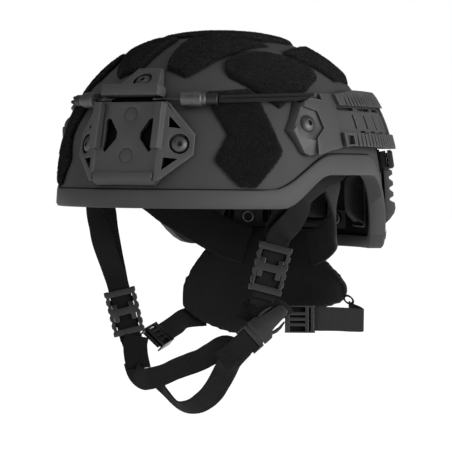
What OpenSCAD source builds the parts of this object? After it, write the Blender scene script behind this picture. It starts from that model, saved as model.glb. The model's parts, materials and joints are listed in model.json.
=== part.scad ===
// Combat helmet: a shell with an edge trim, a front shroud for a device arm,
// two accessory rails, bungee lanyards, hook-and-loop patches, comfort pads
// and a four-point chin harness with a nape pad.
// +Z is up, the wearer faces -Y and the wearer's left is +X.
// The origin is the centre of the head opening on the brim plane.

/* [Shell] */
// Length of the bare shell, front to rear
shell_len = 279; // [270:1:288]
// Width of the bare shell
shell_w = 244; // [236:1:252]
// Height of the crown above the brim plane
crown_h = 137; // [130:1:142]
// Wall thickness of the shell
shell_t = 8.5; // [7:0.5:10]
// Roundness of the dome seen from the side, where 2 is an ellipse
dome_pow = 2.4; // [2.2:0.05:2.6]
// Roundness of the dome seen from above, where 2 is an ellipse
plan_pow = 2.07; // [2:0.01:2.2]
// Height of the front edge above the brim plane
brim_z = 1; // [0:0.5:4]
// Height of the ear cut's top edge
ear_z = 26.5; // [20:0.5:32]
// Depth of the nape edge below the brim plane
nape_drop = 33; // [28:1:42]

/* [Edge trim] */
// Height of the trim's outer leg along the brim
trim_h = 14; // [10:0.5:18]
// How far the trim stands out from the shell
trim_t = 2.6; // [1.5:0.1:4]
// Height of the trim's inner leg
trim_lip_h = 10; // [6:0.5:14]
// Gap between the shell's wall and the trim on each side of it
trim_fit = 0.5; // [0.4:0.05:0.8]

/* [Patches] */
// Thickness of a loop patch
patch_t = 2.2; // [1:0.1:4]
// Gap that glue fills between the shell and what sits on it
glue_gap = 0.5; // [0.4:0.05:1]

/* [Shroud] */
// Height of the shroud's lower reference line above the brim plane
shroud_z = 37; // [32:0.5:42]
// How far the shroud's face stands ahead of the origin
shroud_y = 140; // [138:0.5:146]
// Angle at which the shroud leans back
shroud_lean = 12.2; // [8:0.2:16]
// Half width of the shroud's centre plate
shroud_half_w = 30.5; // [27:0.5:34]
// How far the side ribs and the upper ledge stand out
rib_h = 6; // [4:0.5:8]
// Width of a side rib
rib_w = 6; // [4:0.5:8]
// Height of the lanyard slot
slot_h = 4; // [3:0.25:5]
// Angle at which each wing turns back
wing_turn = 31; // [26:1:36]

/* [Rails] */
// Radius of the rail's back in plan, which follows the shell
rail_bend = 161; // [150:1:175]
// Radius of the rail's face in plan
rail_face_bend = 212; // [190:2:240]
// Thickness of the rail at its middle
rail_t = 5.6; // [4:0.2:7]
// Extra thickness of the toothed bands
band_t = 4.2; // [3:0.2:6]
// Spacing of the teeth along a band
tooth_pitch = 6; // [5:0.25:8]
// Width of the groove between two teeth
tooth_gap = 2.2; // [1.5:0.1:3]
// Spacing of the upright slots along the rail
slat_pitch = 20.5; // [18:0.5:22]

/* [Fasteners] */
// Diameter of a screw's shank
screw_d = 5; // [4:0.25:6]
// Diameter of a screw's head
head_d = 13; // [11:0.5:15]
// Height of a screw's head
head_h = 3.2; // [2.4:0.2:4]
// Width across the flats of a screw's socket
hex_af = 4; // [3:0.5:5]
// Radial clearance of a screw in its holes
screw_fit = 0.3; // [0.2:0.05:0.6]

/* [Lanyards] */
// Diameter of one strand of the lanyard cord
cord_d = 2.8; // [2:0.1:3.4]
// Diameter of the ferrule's grip
grip_d = 12; // [10:0.25:13]
// Length of the ferrule
ferrule_len = 28; // [24:0.5:32]
// Diameter of the hook's wire
wire_d = 1.8; // [1.2:0.1:2.2]

/* [Harness] */
// Width of the webbing
web_w = 17.5; // [16:0.5:20]
// Thickness of the webbing
web_t = 1.4; // [1:0.1:2]
// Clearance between the webbing and the hardware on it
web_gap = 0.4; // [0.3:0.05:0.8]
// Length of a strap adjuster
adjuster_len = 37; // [32:0.5:42]
// Travel of a strap adjuster each way along its webbing
adjuster_travel = 4; // [0:0.5:6]
// Turn of the harness hardware about the vertical
harness_turn = 31.4; // [20:0.2:40]
// Half width of the nape pad at its wings
nape_half_w = 77; // [70:1:84]
// Radius to which the nape pad is curved
nape_bend = 88; // [82:1:96]
// Thickness of the nape pad
nape_t = 9; // [6:0.5:12]

/* [Pads] */
// Thickness of the comfort pads
pad_t = 17; // [12:0.5:20]
// Gap between the shell and a pad's fastening square
pad_gap = 1.1; // [0.9:0.1:1.5]

/* [Hidden] */
$fn = 48;
part_gap = 0.3;
half_len = shell_len / 2;
half_w = shell_w / 2;
trim_floor = 2.7;
trim_wall = 1.8;
shell_color = "#4a4b4d";
rubber_color = "#515254";
loop_color = "#1c1c1d";
web_color = "#29292b";
plastic_color = "#3b3c3e";
metal_color = "#6c6d6f";
pad_color = "#1b1b1c";

// Blends, unit vectors and smooth curves through chosen points
function ease(t) = let (u = max(0, min(1, t))) u * u * (3 - 2 * u);
function rise(v, a, b) = ease((v - a) / (b - a));
function mix(a, b, t) = a + (b - a) * t;
function unit(v) = v / norm(v);
function spow(v, e) = sign(v) * pow(abs(v), e);
function flip(p) = [-p[0], p[1], p[2]];
function flip_all(list) = [for (p = list) flip(p)];
function curve_at(a, b, c, d, t) = 0.5 * (2 * b + (c - a) * t
    + (2 * a - 5 * b + 4 * c - d) * t * t
    + (3 * b - a - 3 * c + d) * t * t * t);
function smooth(p, n) = let (m = len(p) - 1) [
    for (i = [0:m - 1]) for (k = [0:n - 1])
        curve_at(p[max(i - 1, 0)], p[i], p[i + 1], p[min(i + 2, m)], k / n),
    p[m]];
function along(p, t) = let (s = t * (len(p) - 1), i = min(floor(s), len(p) - 2))
    mix(p[i], p[i + 1], s - i);

// The dome: a is the angle from the front towards the wearer's left
function shrink(z, h) = z <= 0 ? 1
    : pow(1 - pow(min(z, h) / h, dome_pow), 1 / dome_pow);
function on_shell(a, z, off = 0) = let (c = shrink(z, crown_h + off)) [
    (half_w + off) * c * spow(sin(a), 2 / plan_pow),
    -(half_len + off) * c * spow(cos(a), 2 / plan_pow), z];
function on_dome(x, y, off = 0) = let (
    s = pow(abs(x) / (half_w + off), plan_pow)
        + pow(abs(y) / (half_len + off), plan_pow))
    [x, y, (crown_h + off)
        * pow(max(0, 1 - pow(s, dome_pow / plan_pow)), 1 / dome_pow)];
function shell_normal(a, z) = unit(cross(on_shell(a + 1, z) - on_shell(a - 1, z),
    on_shell(a, z + 1) - on_shell(a, z - 1)));

// Edge line of the rim and the top of the trim's outer leg, by angle
ear_front = [55.5, 75];
ear_rear = [100, 132];
function turn_of(a) = abs(a > 180 ? a - 360 : a);
function rim_z(a) = let (b = turn_of(a))
    brim_z + (ear_z - brim_z) * rise(b, ear_front[0], ear_front[1])
    - (ear_z + nape_drop) * rise(b, ear_rear[0], ear_rear[1]);
function seam_z(a) = let (b = turn_of(a))
    b < 90 ? brim_z + trim_h + (ear_z - brim_z + 2) * rise(b, 51, 77)
    : rim_z(a) + trim_h + 2 - (trim_h - 2) * rise(b, 99, 109)
        + (trim_h - 5) * rise(b, 126, 141);
half_turns = [for (r = [[0, 8, 48], [54, 3, 78], [84, 6, 96], [99, 3, 135],
    [144, 12, 168]]) for (a = [r[0]:r[1]:r[2]]) a];
turns = concat(half_turns, [180],
    [for (i = [len(half_turns) - 1:-1:1]) 360 - half_turns[i]]);

// Solids made of rings or rows of points
module loft(rings, closed = false) {
    n = len(rings);
    m = len(rings[0]);
    e = (n - 1) * m;
    sides = [for (i = [0:(closed ? n : n - 1) - 1], j = [0:m - 1])
        let (a = i * m + j, b = i * m + (j + 1) % m,
            c = ((i + 1) % n) * m + (j + 1) % m, d = ((i + 1) % n) * m + j)
        each [[a, d, c], [a, c, b]]];
    ends = closed ? [] : [for (k = [1:m - 2])
        each [[0, k, k + 1], [e, e + k + 1, e + k]]];
    polyhedron([for (r = rings) each r], concat(sides, ends), convexity = 8);
}

module slab(outer, inner) {
    n = len(outer);
    m = len(outer[0]);
    k = n * m;
    t = k - m;
    r = m - 1;
    skins = [for (i = [0:n - 2], j = [0:m - 2])
        let (a = i * m + j, b = a + 1, c = a + m + 1, d = a + m)
        each [[a, d, c], [a, c, b], [k + a, k + b, k + c], [k + a, k + c, k + d]]];
    ends = [for (a = [0:m - 2]) let (b = a + 1)
        each [[a, b, k + b], [a, k + b, k + a],
            [t + b, t + a, k + t + a], [t + b, k + t + a, k + t + b]]];
    flanks = [for (i = [0:n - 2]) let (a = i * m, d = a + m)
        each [[d, a, k + a], [d, k + a, k + d],
            [a + r, d + r, k + d + r], [a + r, k + d + r, k + a + r]]];
    polyhedron(concat([for (q = outer) each q], [for (q = inner) each q]),
        concat(skins, ends, flanks), convexity = 8);
}

module dome(outer, inner, top_out, top_in) {
    n = len(outer);
    m = len(outer[0]);
    k = n * m;
    t = k - m;
    skins = [for (i = [0:n - 2], j = [0:m - 1])
        let (a = i * m + j, b = i * m + (j + 1) % m, c = b + m, d = a + m)
        each [[a, d, c], [a, c, b], [k + a, k + b, k + c], [k + a, k + c, k + d]]];
    caps = [for (j = [0:m - 1]) let (b = (j + 1) % m)
        each [[t + j, 2 * k, t + b], [k + t + j, k + t + b, 2 * k + 1],
            [j, b, k + b], [j, k + b, k + j]]];
    polyhedron(concat([for (q = outer) each q], [for (q = inner) each q],
        [top_out, top_in]), concat(skins, caps), convexity = 8);
}

// A strip of webbing along a smooth path, with a facing at each point
function strap_rings(path, facing, w, t) = [for (i = [0:len(path) - 1]) let (
    d = unit(path[min(i + 1, len(path) - 1)] - path[max(i - 1, 0)]),
    s = unit(cross(facing[i], d)) * w / 2,
    f = unit(cross(d, s)) * t / 2)
    [path[i] + s + f, path[i] - s + f, path[i] - s - f, path[i] + s - f]];
module strap(points, facings, w = web_w, t = web_t, n = 3) {
    loft(strap_rings(smooth(points, n), smooth(facings, n), w, t));
}

// Places children on the shell, with their +Z along its normal and +X down
module at_shell(a, z, off = 0) {
    v = shell_normal(a, z);
    translate(on_shell(a, z) + v * off)
        rotate([0, acos(v[2]), atan2(v[1], v[0])])
            children();
}

// Places flat harness hardware: children lie in XY and face the wearer's front left
module at_panel(p, tilt = 0) {
    translate(p)
        rotate([0, 0, harness_turn])
            rotate([0, tilt, 0])
                rotate([90, 0, 0])
                    children();
}

// Places children on the shroud's face: X across, Y up its slope, Z out
module at_shroud() {
    translate([0, -shroud_y, shroud_z])
        rotate([90 - shroud_lean, 0, 0])
            children();
}
module both_sides() {
    children();
    mirror([1, 0, 0])
        children();
}

// Screw places: on the shroud and on the rails
wing_screw = [13, 13.8];
top_screw_y = 66;
wedge_turn = 38;
rail_screws_at = [[65.5, 63], [114, 63]];
module at_wing() {
    at_shroud()
        translate([shroud_half_w, 0, 0])
            rotate([0, wing_turn, 0])
                children();
}
module at_wedge() {
    at_shroud()
        translate([0, 57, -4])
            rotate([-wedge_turn, 0, 0])
                children();
}
module at_shroud_screws() {
    both_sides()
        at_wing()
            translate([wing_screw[0], wing_screw[1], 0])
                children();
    at_wedge()
        translate([0, top_screw_y - 57, 0])
            children();
}
module at_rail_screws(off = 0) {
    both_sides()
        for (p = rail_screws_at)
            at_shell(p[0], p[1], off)
                children();
}

// Shell
dome_rings = 12;
function dome_ring(i, off) = [for (a = turns) let (
    low = rim_z(a) + trim_floor + trim_fit,
    u = pow(sin(90 * i / dome_rings), 2 / dome_pow))
    on_shell(a, mix(low, crown_h + off, u), off)];
module shell_wall(out, in) {
    dome([for (i = [0:dome_rings - 1]) dome_ring(i, out)],
        [for (i = [0:dome_rings - 1]) dome_ring(i, in)],
        [0, 0, crown_h + out], [0, 0, crown_h + in]);
}
module shell() {
    hole_r = screw_d / 2 + screw_fit;
    color(shell_color) difference() {
        shell_wall(0, -shell_t);
        at_shroud_screws()
            translate([0, 0, -40])
                cylinder(r = hole_r, h = 44);
        at_rail_screws()
            translate([0, 0, -shell_t - 5])
                cylinder(r = hole_r, h = shell_t + 10);
    }
}

module rim_trim() {
    inner = -shell_t - trim_fit;
    color(rubber_color)
        loft([for (a = turns) let (low = rim_z(a), top = seam_z(a)) [
            on_shell(a, top, trim_fit),
            on_shell(a, top, trim_t - 1),
            on_shell(a, top - 1.5, trim_t),
            on_shell(a, low + 2.5, trim_t + 0.4),
            on_shell(a, low, trim_t - 1),
            on_shell(a, low, inner - 0.8),
            on_shell(a, low + 2, inner - trim_wall),
            on_shell(a, low + trim_lip_h, inner - trim_wall),
            on_shell(a, low + trim_lip_h, inner),
            on_shell(a, low + trim_floor, inner),
            on_shell(a, low + trim_floor, trim_fit)]], closed = true);
}

// Loop patches: two edges from bottom to top, as [angle, height] or as [x, y]
module patch(left, right, rows, cols, from_above = false) {
    function skin(off) = [for (i = [0:rows]) let (
        p = along(left, i / rows), q = along(right, i / rows))
        [for (j = [0:cols]) let (v = mix(p, q, j / cols))
            from_above ? on_dome(v[0], v[1], off) : on_shell(v[0], v[1], off)]];
    slab(skin(glue_gap + patch_t), skin(glue_gap));
}
module loop_patch_side_l() {
    color(loop_color)
        patch([[41, 17], [32, 36], [32, 39], [36.5, 56], [31, 75], [28, 88]],
            [[46, 17], [54.5, 38], [56, 44], [53.5, 58], [49.5, 79], [45.5, 90.5]],
            10, 4);
}
module loop_patch_upper_l() {
    color(loop_color)
        patch([[55, -86], [50, -80], [52, -65], [60, -50], [72, -34], [90, -12]],
            [[60, -87], [82, -78], [92, -70], [95, -54], [97, -40], [94, -17]],
            10, 5, true);
}
module loop_patch_front_l() {
    color(loop_color)
        patch([[12, -102], [9, -94], [7, -80], [6, -64], [6, -58]],
            [[30, -104], [37, -96], [43, -82], [51, -62], [58, -28]],
            8, 5, true);
}
module loop_patch_rear_l() {
    color(loop_color)
        patch([[70, -26], [66, 0], [58, 24], [44, 50], [28, 72]],
            [[78, -20], [95, 10], [90, 40], [70, 74], [44, 96]],
            8, 5, true);
}
module loop_patch_crown() {
    color(loop_color)
        patch([[-20, -48], [-50, -22], [-54, 10], [-36, 48], [-14, 66]],
            [[20, -48], [50, -22], [54, 10], [36, 48], [14, 66]],
            8, 8, true);
}

// Button-head screw with a hex socket, its seat at z = 0
module screw(length) {
    difference() {
        union() {
            rotate_extrude()
                polygon([[0, 0], [head_d / 2, 0], [head_d / 2, 0.8],
                    [head_d / 2 - 0.9, 2], [head_d / 2 - 2.6, head_h - 0.4],
                    [head_d / 2 - 3.8, head_h], [0, head_h]]);
            translate([0, 0, -length])
                cylinder(d = screw_d, h = length);
        }
        translate([0, 0, head_h - 2.2])
            cylinder(d = hex_af / cos(30), h = 3, $fn = 6);
    }
}

// Shroud
slot_low = 44.5;
ledge_low = slot_low + slot_h;
ledge_top = 57;
lip_top = -9.8;
seat_depth = 2.6;
module nose_form() {
    cy = 20;
    steps = [for (z = [4:6:118]) z];
    translate([0, -cy, 0])
        rotate_extrude($fn = 120)
            polygon(concat([[0, 4]], [for (z = steps)
                [half_len * shrink(z, crown_h) - cy + 0.9, z]], [[0, 118]]));
}
module shroud_plate() {
    w = shroud_half_w;
    translate([0, 0, -30])
        linear_extrude(30)
            polygon([[-w, slot_low], [-w, -12], [-26, -18], [26, -18],
                [w, -12], [w, slot_low]]);
    for (s = [-1, 1])
        translate([s * (w - rib_w / 2), 25.5, rib_h / 2 - 0.5])
            cube([rib_w, 35, rib_h + 1], center = true);
    translate([0, 0, -30])
        linear_extrude(32)
            polygon([[-26, lip_top], [-27, -12], [-25, -18.6], [25, -18.6],
                [27, -12], [26, lip_top]]);
}
module shroud_ledge() {
    translate([0, 0, -5])
        linear_extrude(5 + rib_h)
            polygon([[-25.3, ledge_low], [25.3, ledge_low], [25.3, ledge_top - 1.5],
                [24, ledge_top], [-24, ledge_top], [-25.3, ledge_top - 1.5]]);
    translate([-21, slot_low - 2, -30])
        cube([42, ledge_top - slot_low, 30 - 4]);
}
module shroud_wedge() {
    difference() {
        translate([0, 0, -40])
            linear_extrude(40)
                polygon([[-19, ledge_top - 2], [19, ledge_top - 2],
                    [10.4, 75], [-10.4, 75]]);
        translate([0, ledge_top, -4])
            rotate([-wedge_turn, 0, 0])
                translate([-30, -30, 0])
                    cube([60, 90, 40]);
    }
}
module shroud_wing() {
    difference() {
        translate([0, 0, -22])
            linear_extrude(22)
                polygon([[-3, 43.5], [2.5, 43.5], [24, 22.5], [24.6, 6.5],
                    [0, -15.8], [-3, -15.8]]);
        translate([0, 0, -30])
            linear_extrude(40) {
                polygon([[3.4, 34], [3.8, 25.4], [13, 25.4]]);
                polygon([[2, 2.4], [13, 2.4], [2, -7.4]]);
            }
    }
}
module shroud() {
    color(plastic_color) difference() {
        union() {
            at_shroud() {
                shroud_plate();
                shroud_ledge();
                shroud_wedge();
            }
            both_sides()
                at_wing()
                    shroud_wing();
        }
        nose_form();
        at_shroud() {
            translate([-50, slot_low, -8])
                cube([100, slot_h, 40]);
            for (s = [-1, 1])
                scale([s, 1, 1])
                    translate([0, 0, -30])
                        linear_extrude(40)
                            polygon([[10.5, 16.5], [10.5, 21.4], [17, 31],
                                [20, 32.2], [21.5, 30], [21.5, 7.4], [19.5, 6]]);
            for (y = insert_y)
                translate([0, y, -insert_depth])
                    cylinder(d = insert_d + 2 * insert_fit, h = 4);
            translate([-40, -30, 2.2])
                rotate([-38, 0, 0])
                    cube([80, 12, 14]);
        }
        at_shroud_screws() {
            translate([0, 0, -30])
                cylinder(r = screw_d / 2 + screw_fit, h = 60);
            translate([0, 0, -seat_depth])
                cylinder(d = head_d + 2.4, h = 20);
        }
    }
}
insert_y = [3.2, 34.8];
insert_d = 11.2;
insert_depth = 1.6;
insert_fit = 0.05;
module shroud_inserts() {
    color("#454648")
        at_shroud()
            for (y = insert_y)
                translate([0, y, -insert_depth])
                    cylinder(d = insert_d, h = insert_depth - 0.2);
}
module shroud_screws() {
    color(metal_color)
        at_shroud_screws()
            translate([0, 0, -seat_depth])
                screw(shroud_screw_len);
}
shroud_screw_len = shell_t + 9.4;

// Rails: the back follows the shell, and the face is bent less
rail_cx = half_w - rail_bend;
rail_fx = half_w - rail_face_bend;
rail_in = 0.9;
rail_face = rail_in + rail_t;
land_h = 2;
rail_front = -72;
rail_rear = 86;
front_taper = -55;
band_front = -20;
band_low = [46, 59];
band_high = [80, 94];
slot_span = [[-8, 25], [26, 25], [57, 22]];
function wall_x(z) = half_w * shrink(z, crown_h);
function face_turn(y) = asin(y / rail_face_bend);
module wall_band(low, high, cx, from, to, y0, y1) {
    n = max(2, round((high - low) / 6));
    zs = [for (i = [0:n]) mix(low, high, i / n)];
    a0 = asin(y0 / (half_w - cx));
    a1 = asin(y1 / (half_w - cx));
    translate([cx, 0, 0])
        rotate([0, 0, a0])
            rotate_extrude(angle = a1 - a0, $fn = 180)
                polygon(concat([for (z = zs) [wall_x(z) - cx + from, z]],
                    [for (i = [n:-1:0]) [wall_x(zs[i]) - cx + to, zs[i]]]));
}
module face_band(z, h, y0, y1) {
    wall_band(z[0], z[1], rail_fx, -26, rail_face + h, y0, y1);
}
module at_face(y, z) {
    translate([rail_fx, 0, z])
        rotate([0, 0, face_turn(y)])
            translate([wall_x(z) - rail_fx + rail_face, 0, 0])
                children();
}
module rail_outline() {
    translate([30, 0, 0])
        rotate([90, 0, 90])
            linear_extrude(120)
                polygon([[-72, 60], [-64, 43], [-60, 41], [-42, 45.5], [-20, 49],
                    [20, 48.5], [80, 47.5], [82, 49], [79, 70], [75, 89],
                    [70, 92.5], [14, 92.5], [-14, 89], [-40, 88.5], [-56, 82]]);
}
module rail() {
    hole_r = screw_d / 2 + screw_fit;
    difference() {
        intersection() {
            union() {
                face_band([38, 94], 0, rail_front - 4, rail_rear);
                face_band([38, 94], land_h, rail_front - 4, -30);
                face_band(band_low, band_t, band_front - 6, rail_rear);
                face_band(band_high, band_t, band_front, rail_rear);
                face_band([58, 81], land_h, rail_rear - 12, rail_rear);
            }
            rail_outline();
        }
        wall_band(30, 100, rail_cx, -60, rail_in, -110, 110);
        for (i = [0:floor((rail_rear - band_front - 18) / tooth_pitch)])
            for (b = [band_low, band_high])
                at_face(band_front + 11 + tooth_pitch * i, b[0] + 5)
                    rotate([0, b[0] > 60 ? -24 : -12, 0])
                        translate([band_t - 1.5, -tooth_gap / 2, -12])
                            cube([10, tooth_gap, 26]);
        for (i = [0:3])
            at_face(slat_pitch * i, 68)
                rotate([0, -17, 0])
                    translate([-5, -1.5, -6])
                        cube([18, 3, 12]);
        for (p = slot_span)
            at_face(p[0], 77.3)
                translate([-5, -p[1] / 2, -1.1])
                    cube([22, p[1], 2.2]);
        for (y = [10, 30, 51])
            at_face(y, 59.5)
                translate([-4, -4.5, -1.2])
                    cube([18, 9, 2.4]);
        at_face(-18, 55)
            translate([0, -5, -5])
                cube([12, 9, 7]);
        at_face(front_taper, 60)
            translate([land_h, 0, -40])
                rotate([0, 0, -16])
                    translate([0, -30, 0])
                        cube([20, 30, 80]);
        at_shell(rail_screws_at[0][0], rail_screws_at[0][1], 0) {
            translate([0, 0, rail_seat])
                rotate([0, 0, 14])
                    cylinder(d = 28, h = 20, $fn = 6);
            translate([0, 0, -1])
                cylinder(r = hole_r, h = 20);
        }
        at_shell(rail_screws_at[1][0], rail_screws_at[1][1], 0)
            translate([0, 0, -1])
                cylinder(r = hole_r, h = rail_in + 5.5);
        at_cord_end()
            translate([-20, -2.8, -4.6])
                cube([26, 5.6, 9.2]);
    }
}
rail_seat = 6.2;
module rail_l() {
    color(plastic_color)
        rail();
}

// Strap anchors and what fastens them: a nut in front, a screw head behind
tab_t = 1.6;
tab_off = 2;
tab_turn = [0, -60];
nut_h = 3.4;
tab_face = shell_t + tab_off + tab_t;
module at_anchor(i, off) {
    at_shell(rail_screws_at[i][0], rail_screws_at[i][1], off)
        rotate([0, 0, tab_turn[i]])
            children();
}
module rail_screws() {
    color(metal_color)
        both_sides() {
            at_anchor(0, rail_seat)
                screw(rail_seat + tab_face + nut_h + 0.6);
            at_anchor(1, -tab_face - 0.1)
                rotate([180, 0, 0])
                    screw(tab_face + rail_in + 4);
        }
}
module nut() {
    difference() {
        union() {
            cylinder(d = 12, h = 1.2);
            cylinder(d = 9.2, h = nut_h, $fn = 6);
        }
        translate([0, 0, -1])
            cylinder(r = screw_d / 2 + 0.1, h = nut_h + 2);
    }
}
module inner_nuts() {
    color(metal_color) {
        both_sides()
            at_anchor(0, -tab_face - 0.1)
                rotate([180, 0, 0])
                    nut();
        at_shroud_screws()
            translate([0, 0, -seat_depth - shroud_screw_len + 0.3])
                nut();
    }
}
module strap_anchors() {
    color(metal_color)
        both_sides()
            for (i = [0, 1])
                at_anchor(i, -tab_face)
                    difference() {
                        union() {
                            linear_extrude(tab_t)
                                polygon([[-7, -5], [-5, -7], [2, -7], [6, -11],
                                    [13, -11], [14, -10], [14, 10], [13, 11],
                                    [6, 11], [2, 7], [-5, 7], [-7, 5]]);
                            cylinder(d = 8, h = tab_t + tab_off - 0.9);
                        }
                        translate([0, 0, -1])
                            cylinder(r = screw_d / 2 + 0.2, h = 9);
                        translate([8, -web_w / 2 - 0.5, -1])
                            cube([3.4, web_w + 1, 9]);
                    }
}

// Goggle strap clips at the rear corners
module goggle_clip_l() {
    color("#232325")
        at_shell(120.5, 38, glue_gap + 0.4)
            rotate([90, 0, 0])
                translate([0, 0, -6.5])
                    linear_extrude(13)
                        polygon([[-7.4, 0], [6, 0], [7.5, 1.5], [7.5, 8.5], [6, 10],
                            [-6, 10], [-7.4, 8.6], [-7.4, 6], [4.5, 6],
                            [4.5, 4.6], [-7.4, 4.6]]);
}

// Rear bumper, ribbed across the back
bumper_turn = 60;
module rear_bumper() {
    ribs = [28.7, 20, 11.3];
    base = glue_gap + 0.1;
    function back_r(z) = half_len * shrink(z, crown_h) - 20;
    outline = concat([[33, 2]], [for (z = ribs) each [[z + 1.5, 7],
        [z - 1.5, 7], [z - 3.4, 4], [z - 4.8, 4]]],
        [[4.5, 8], [0, 8.6], [-4, 7.6], [-9, 4], [-12, 1]]);
    color(rubber_color)
        translate([0, 20, 0])
            rotate([0, 0, 90 - bumper_turn])
                rotate_extrude(angle = 2 * bumper_turn, $fn = 180)
                    polygon(concat([for (p = outline) [back_r(p[0]) + base + p[1],
                        p[0]]], [for (z = [-12:9:33]) [back_r(z) + base, z]]));
}

// Lanyards: a doubled cord from the rail, its ferrule and a wire hook
ferrule_front = [37.5, -122.6, 82.4];
ferrule_turn = 204.3;
function ferrule_back() = ferrule_front
    - ferrule_len * [cos(ferrule_turn), sin(ferrule_turn), 0];
function cord_route(t, dz) = let (
    p = on_shell(mix(33, 71.5, t), mix(82.4, 86, t) + dz,
        mix(8.2, 6.5, t) - 0.9 * sin(180 * t)),
    q = ferrule_back() + [0.6, 0.3, 0.8 * dz])
    mix(q, p, min(1, 5 * t));
module at_cord_end() {
    p = cord_route(1, 0);
    d = p - cord_route(0.93, 0);
    translate(p)
        rotate([0, 0, atan2(d[1], d[0])])
            children();
}
module round_tube(path, r, sides = 8) {
    loft([for (i = [0:len(path) - 1]) let (
        d = unit(path[min(i + 1, len(path) - 1)] - path[max(i - 1, 0)]),
        s = unit(cross([0, 0, 1], d)),
        f = cross(d, s))
        [for (k = [0:sides - 1]) path[i]
            + r * (cos(360 * k / sides) * s + sin(360 * k / sides) * f)]]);
}
module lanyard_cord_l() {
    color("#222223")
        for (s = [-1, 1])
            round_tube([for (i = [0:10]) cord_route(i / 10, s * (cord_d / 2 + 0.15))],
                cord_d / 2);
}
module at_ferrule() {
    translate(ferrule_front)
        rotate([0, 90, ferrule_turn])
            children();
}
module lanyard_ferrule_l() {
    r = grip_d / 2;
    grip = ferrule_len * 0.64;
    color(metal_color)
        at_ferrule()
            difference() {
                rotate_extrude()
                    polygon(concat([[0, 0], [r - 0.8, 0], [r, -0.8]],
                        [for (i = [1:5]) each [[r, -i * grip / 6 + 0.5],
                            [r - 0.45, -i * grip / 6], [r, -i * grip / 6 - 0.5]]],
                        [[r, -grip], [r - 1.9, -grip - 1.6], [r - 2.2, -ferrule_len],
                            [0, -ferrule_len]]));
                translate([0, 0, -8])
                    cylinder(r = wire_d / 2 + 0.05, h = 10);
            }
}
module lanyard_hook_l() {
    reach = 20;
    color("#9a9b9d")
        at_ferrule() {
            translate([0, 0, -7.8])
                cylinder(d = wire_d, h = reach + 7.8);
            translate([0, 0, reach])
                sphere(d = wire_d);
        }
}

// Comfort pads: their flat side faces the shell
pad_off = shell_t + pad_gap + 1.1;
function pad_bulge(s, t) = pow(max(0, 1 - pow(abs(2 * s - 1), 3.2)), 0.4)
    * pow(max(0, 1 - pow(abs(2 * t - 1), 3.2)), 0.4);
module comfort_pad(a, z, thick = pad_t, rows = 6, cols = 8) {
    function draw(s, t) = 0.5 + (s - 0.5) * (0.93 + 0.07 * pow(2 * t - 1, 2));
    function skin(deep) = [for (i = [0:rows]) [for (j = [0:cols]) let (
        s = draw(j / cols, i / rows), t = draw(i / rows, j / cols),
        k = deep ? 0.3 + 0.7 * pad_bulge(j / cols, i / rows) : 0)
        on_shell(mix(a[0], a[1], s), mix(z[0], z[1], t), -pad_off - thick * k)]];
    color(pad_color)
        slab(skin(false), skin(true));
}
module pad_front() {
    comfort_pad([-26, 26], [11, 39], 14);
}
module pad_rear() {
    comfort_pad([165, 195], [-13, 32], 14);
}
module pad_temple_l() {
    comfort_pad([76, 106], [61, 91], 14);
}
module pad_rear_side_l() {
    comfort_pad([128, 148], [-15, 31], 15);
}
module pad_crown() {
    rings = 5;
    spread = 30;
    function ring(i, off) = [for (k = [0:19]) let (
        r = spread + 28 - (28 + spread) * i / rings)
        on_dome(r * sin(18 * k), -r * cos(18 * k), off)];
    color(pad_color)
        dome([for (i = [0:rings - 1]) ring(i, -pad_off)],
            [for (i = [0:rings - 1]) ring(i,
                -pad_off - pad_t * (0.3 + 0.7 * pow(sin(90 * i / rings), 0.7)))],
            [0, 0, crown_h - pad_off], [0, 0, crown_h - pad_off - pad_t]);
}
module fastener_square(a, z) {
    span = [for (s = [-1, 0, 1]) s];
    function skin(off) = [for (t = span) [for (s = span)
        on_shell(a + 6 * s, z + 12 * t, off)]];
    slab(skin(-shell_t - pad_gap), skin(-shell_t - pad_gap - 0.7));
}
module pad_fasteners() {
    color("#2e2e30") {
        for (p = [[0, 25], [180, 10]])
            fastener_square(p[0], p[1]);
        both_sides()
            for (p = [[91, 76], [135, 5]])
                fastener_square(p[0], p[1]);
        translate([0, 0, crown_h - shell_t - pad_gap - 0.9])
            cylinder(d = 44, h = 0.7);
    }
}

// Rear cross bracket inside the shell, with a ring boss at each end
bracket_turn = [150, 163];
bracket_z = [-18, -3];
bracket_off = 14;
function bracket_skin(a0, a1, z0, z1, off) = [for (z = [z0, (z0 + z1) / 2, z1])
    [for (j = [0:3]) on_shell(mix(a0, a1, j / 3), z, -off)]];
module rear_bracket() {
    color("#242426") {
        for (s = [0, 1])
            slab(bracket_skin(s ? 360 - bracket_turn[1] : bracket_turn[0],
                    s ? 360 - bracket_turn[0] : bracket_turn[1],
                    bracket_z[0], bracket_z[1], bracket_off),
                bracket_skin(s ? 360 - bracket_turn[1] : bracket_turn[0],
                    s ? 360 - bracket_turn[0] : bracket_turn[1],
                    bracket_z[0], bracket_z[1], bracket_off + 3));
        loft([for (j = [0:12]) let (
            a = mix(bracket_turn[1] - 1, 361 - bracket_turn[1], j / 12)) [
            on_shell(a, bracket_z[0] + 3.4, -bracket_off - 0.4),
            on_shell(a, bracket_z[0] + 0.2, -bracket_off - 0.4),
            on_shell(a, bracket_z[0] + 0.2, -bracket_off - 2.6),
            on_shell(a, bracket_z[0] + 3.4, -bracket_off - 2.6)]]);
        both_sides() {
            at_shell(156.5, -9.5, -bracket_off - 4.2)
                difference() {
                    cylinder(d = 9.6, h = 3);
                    translate([0, 0, -1])
                        cylinder(d = 5.8, h = 2.2);
                }
            at_shell(156.5, -9.5, -bracket_off - 1)
                cylinder(d = 7, h = bracket_off + 1 - shell_t - part_gap - 0.25);
        }
    }
}

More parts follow.
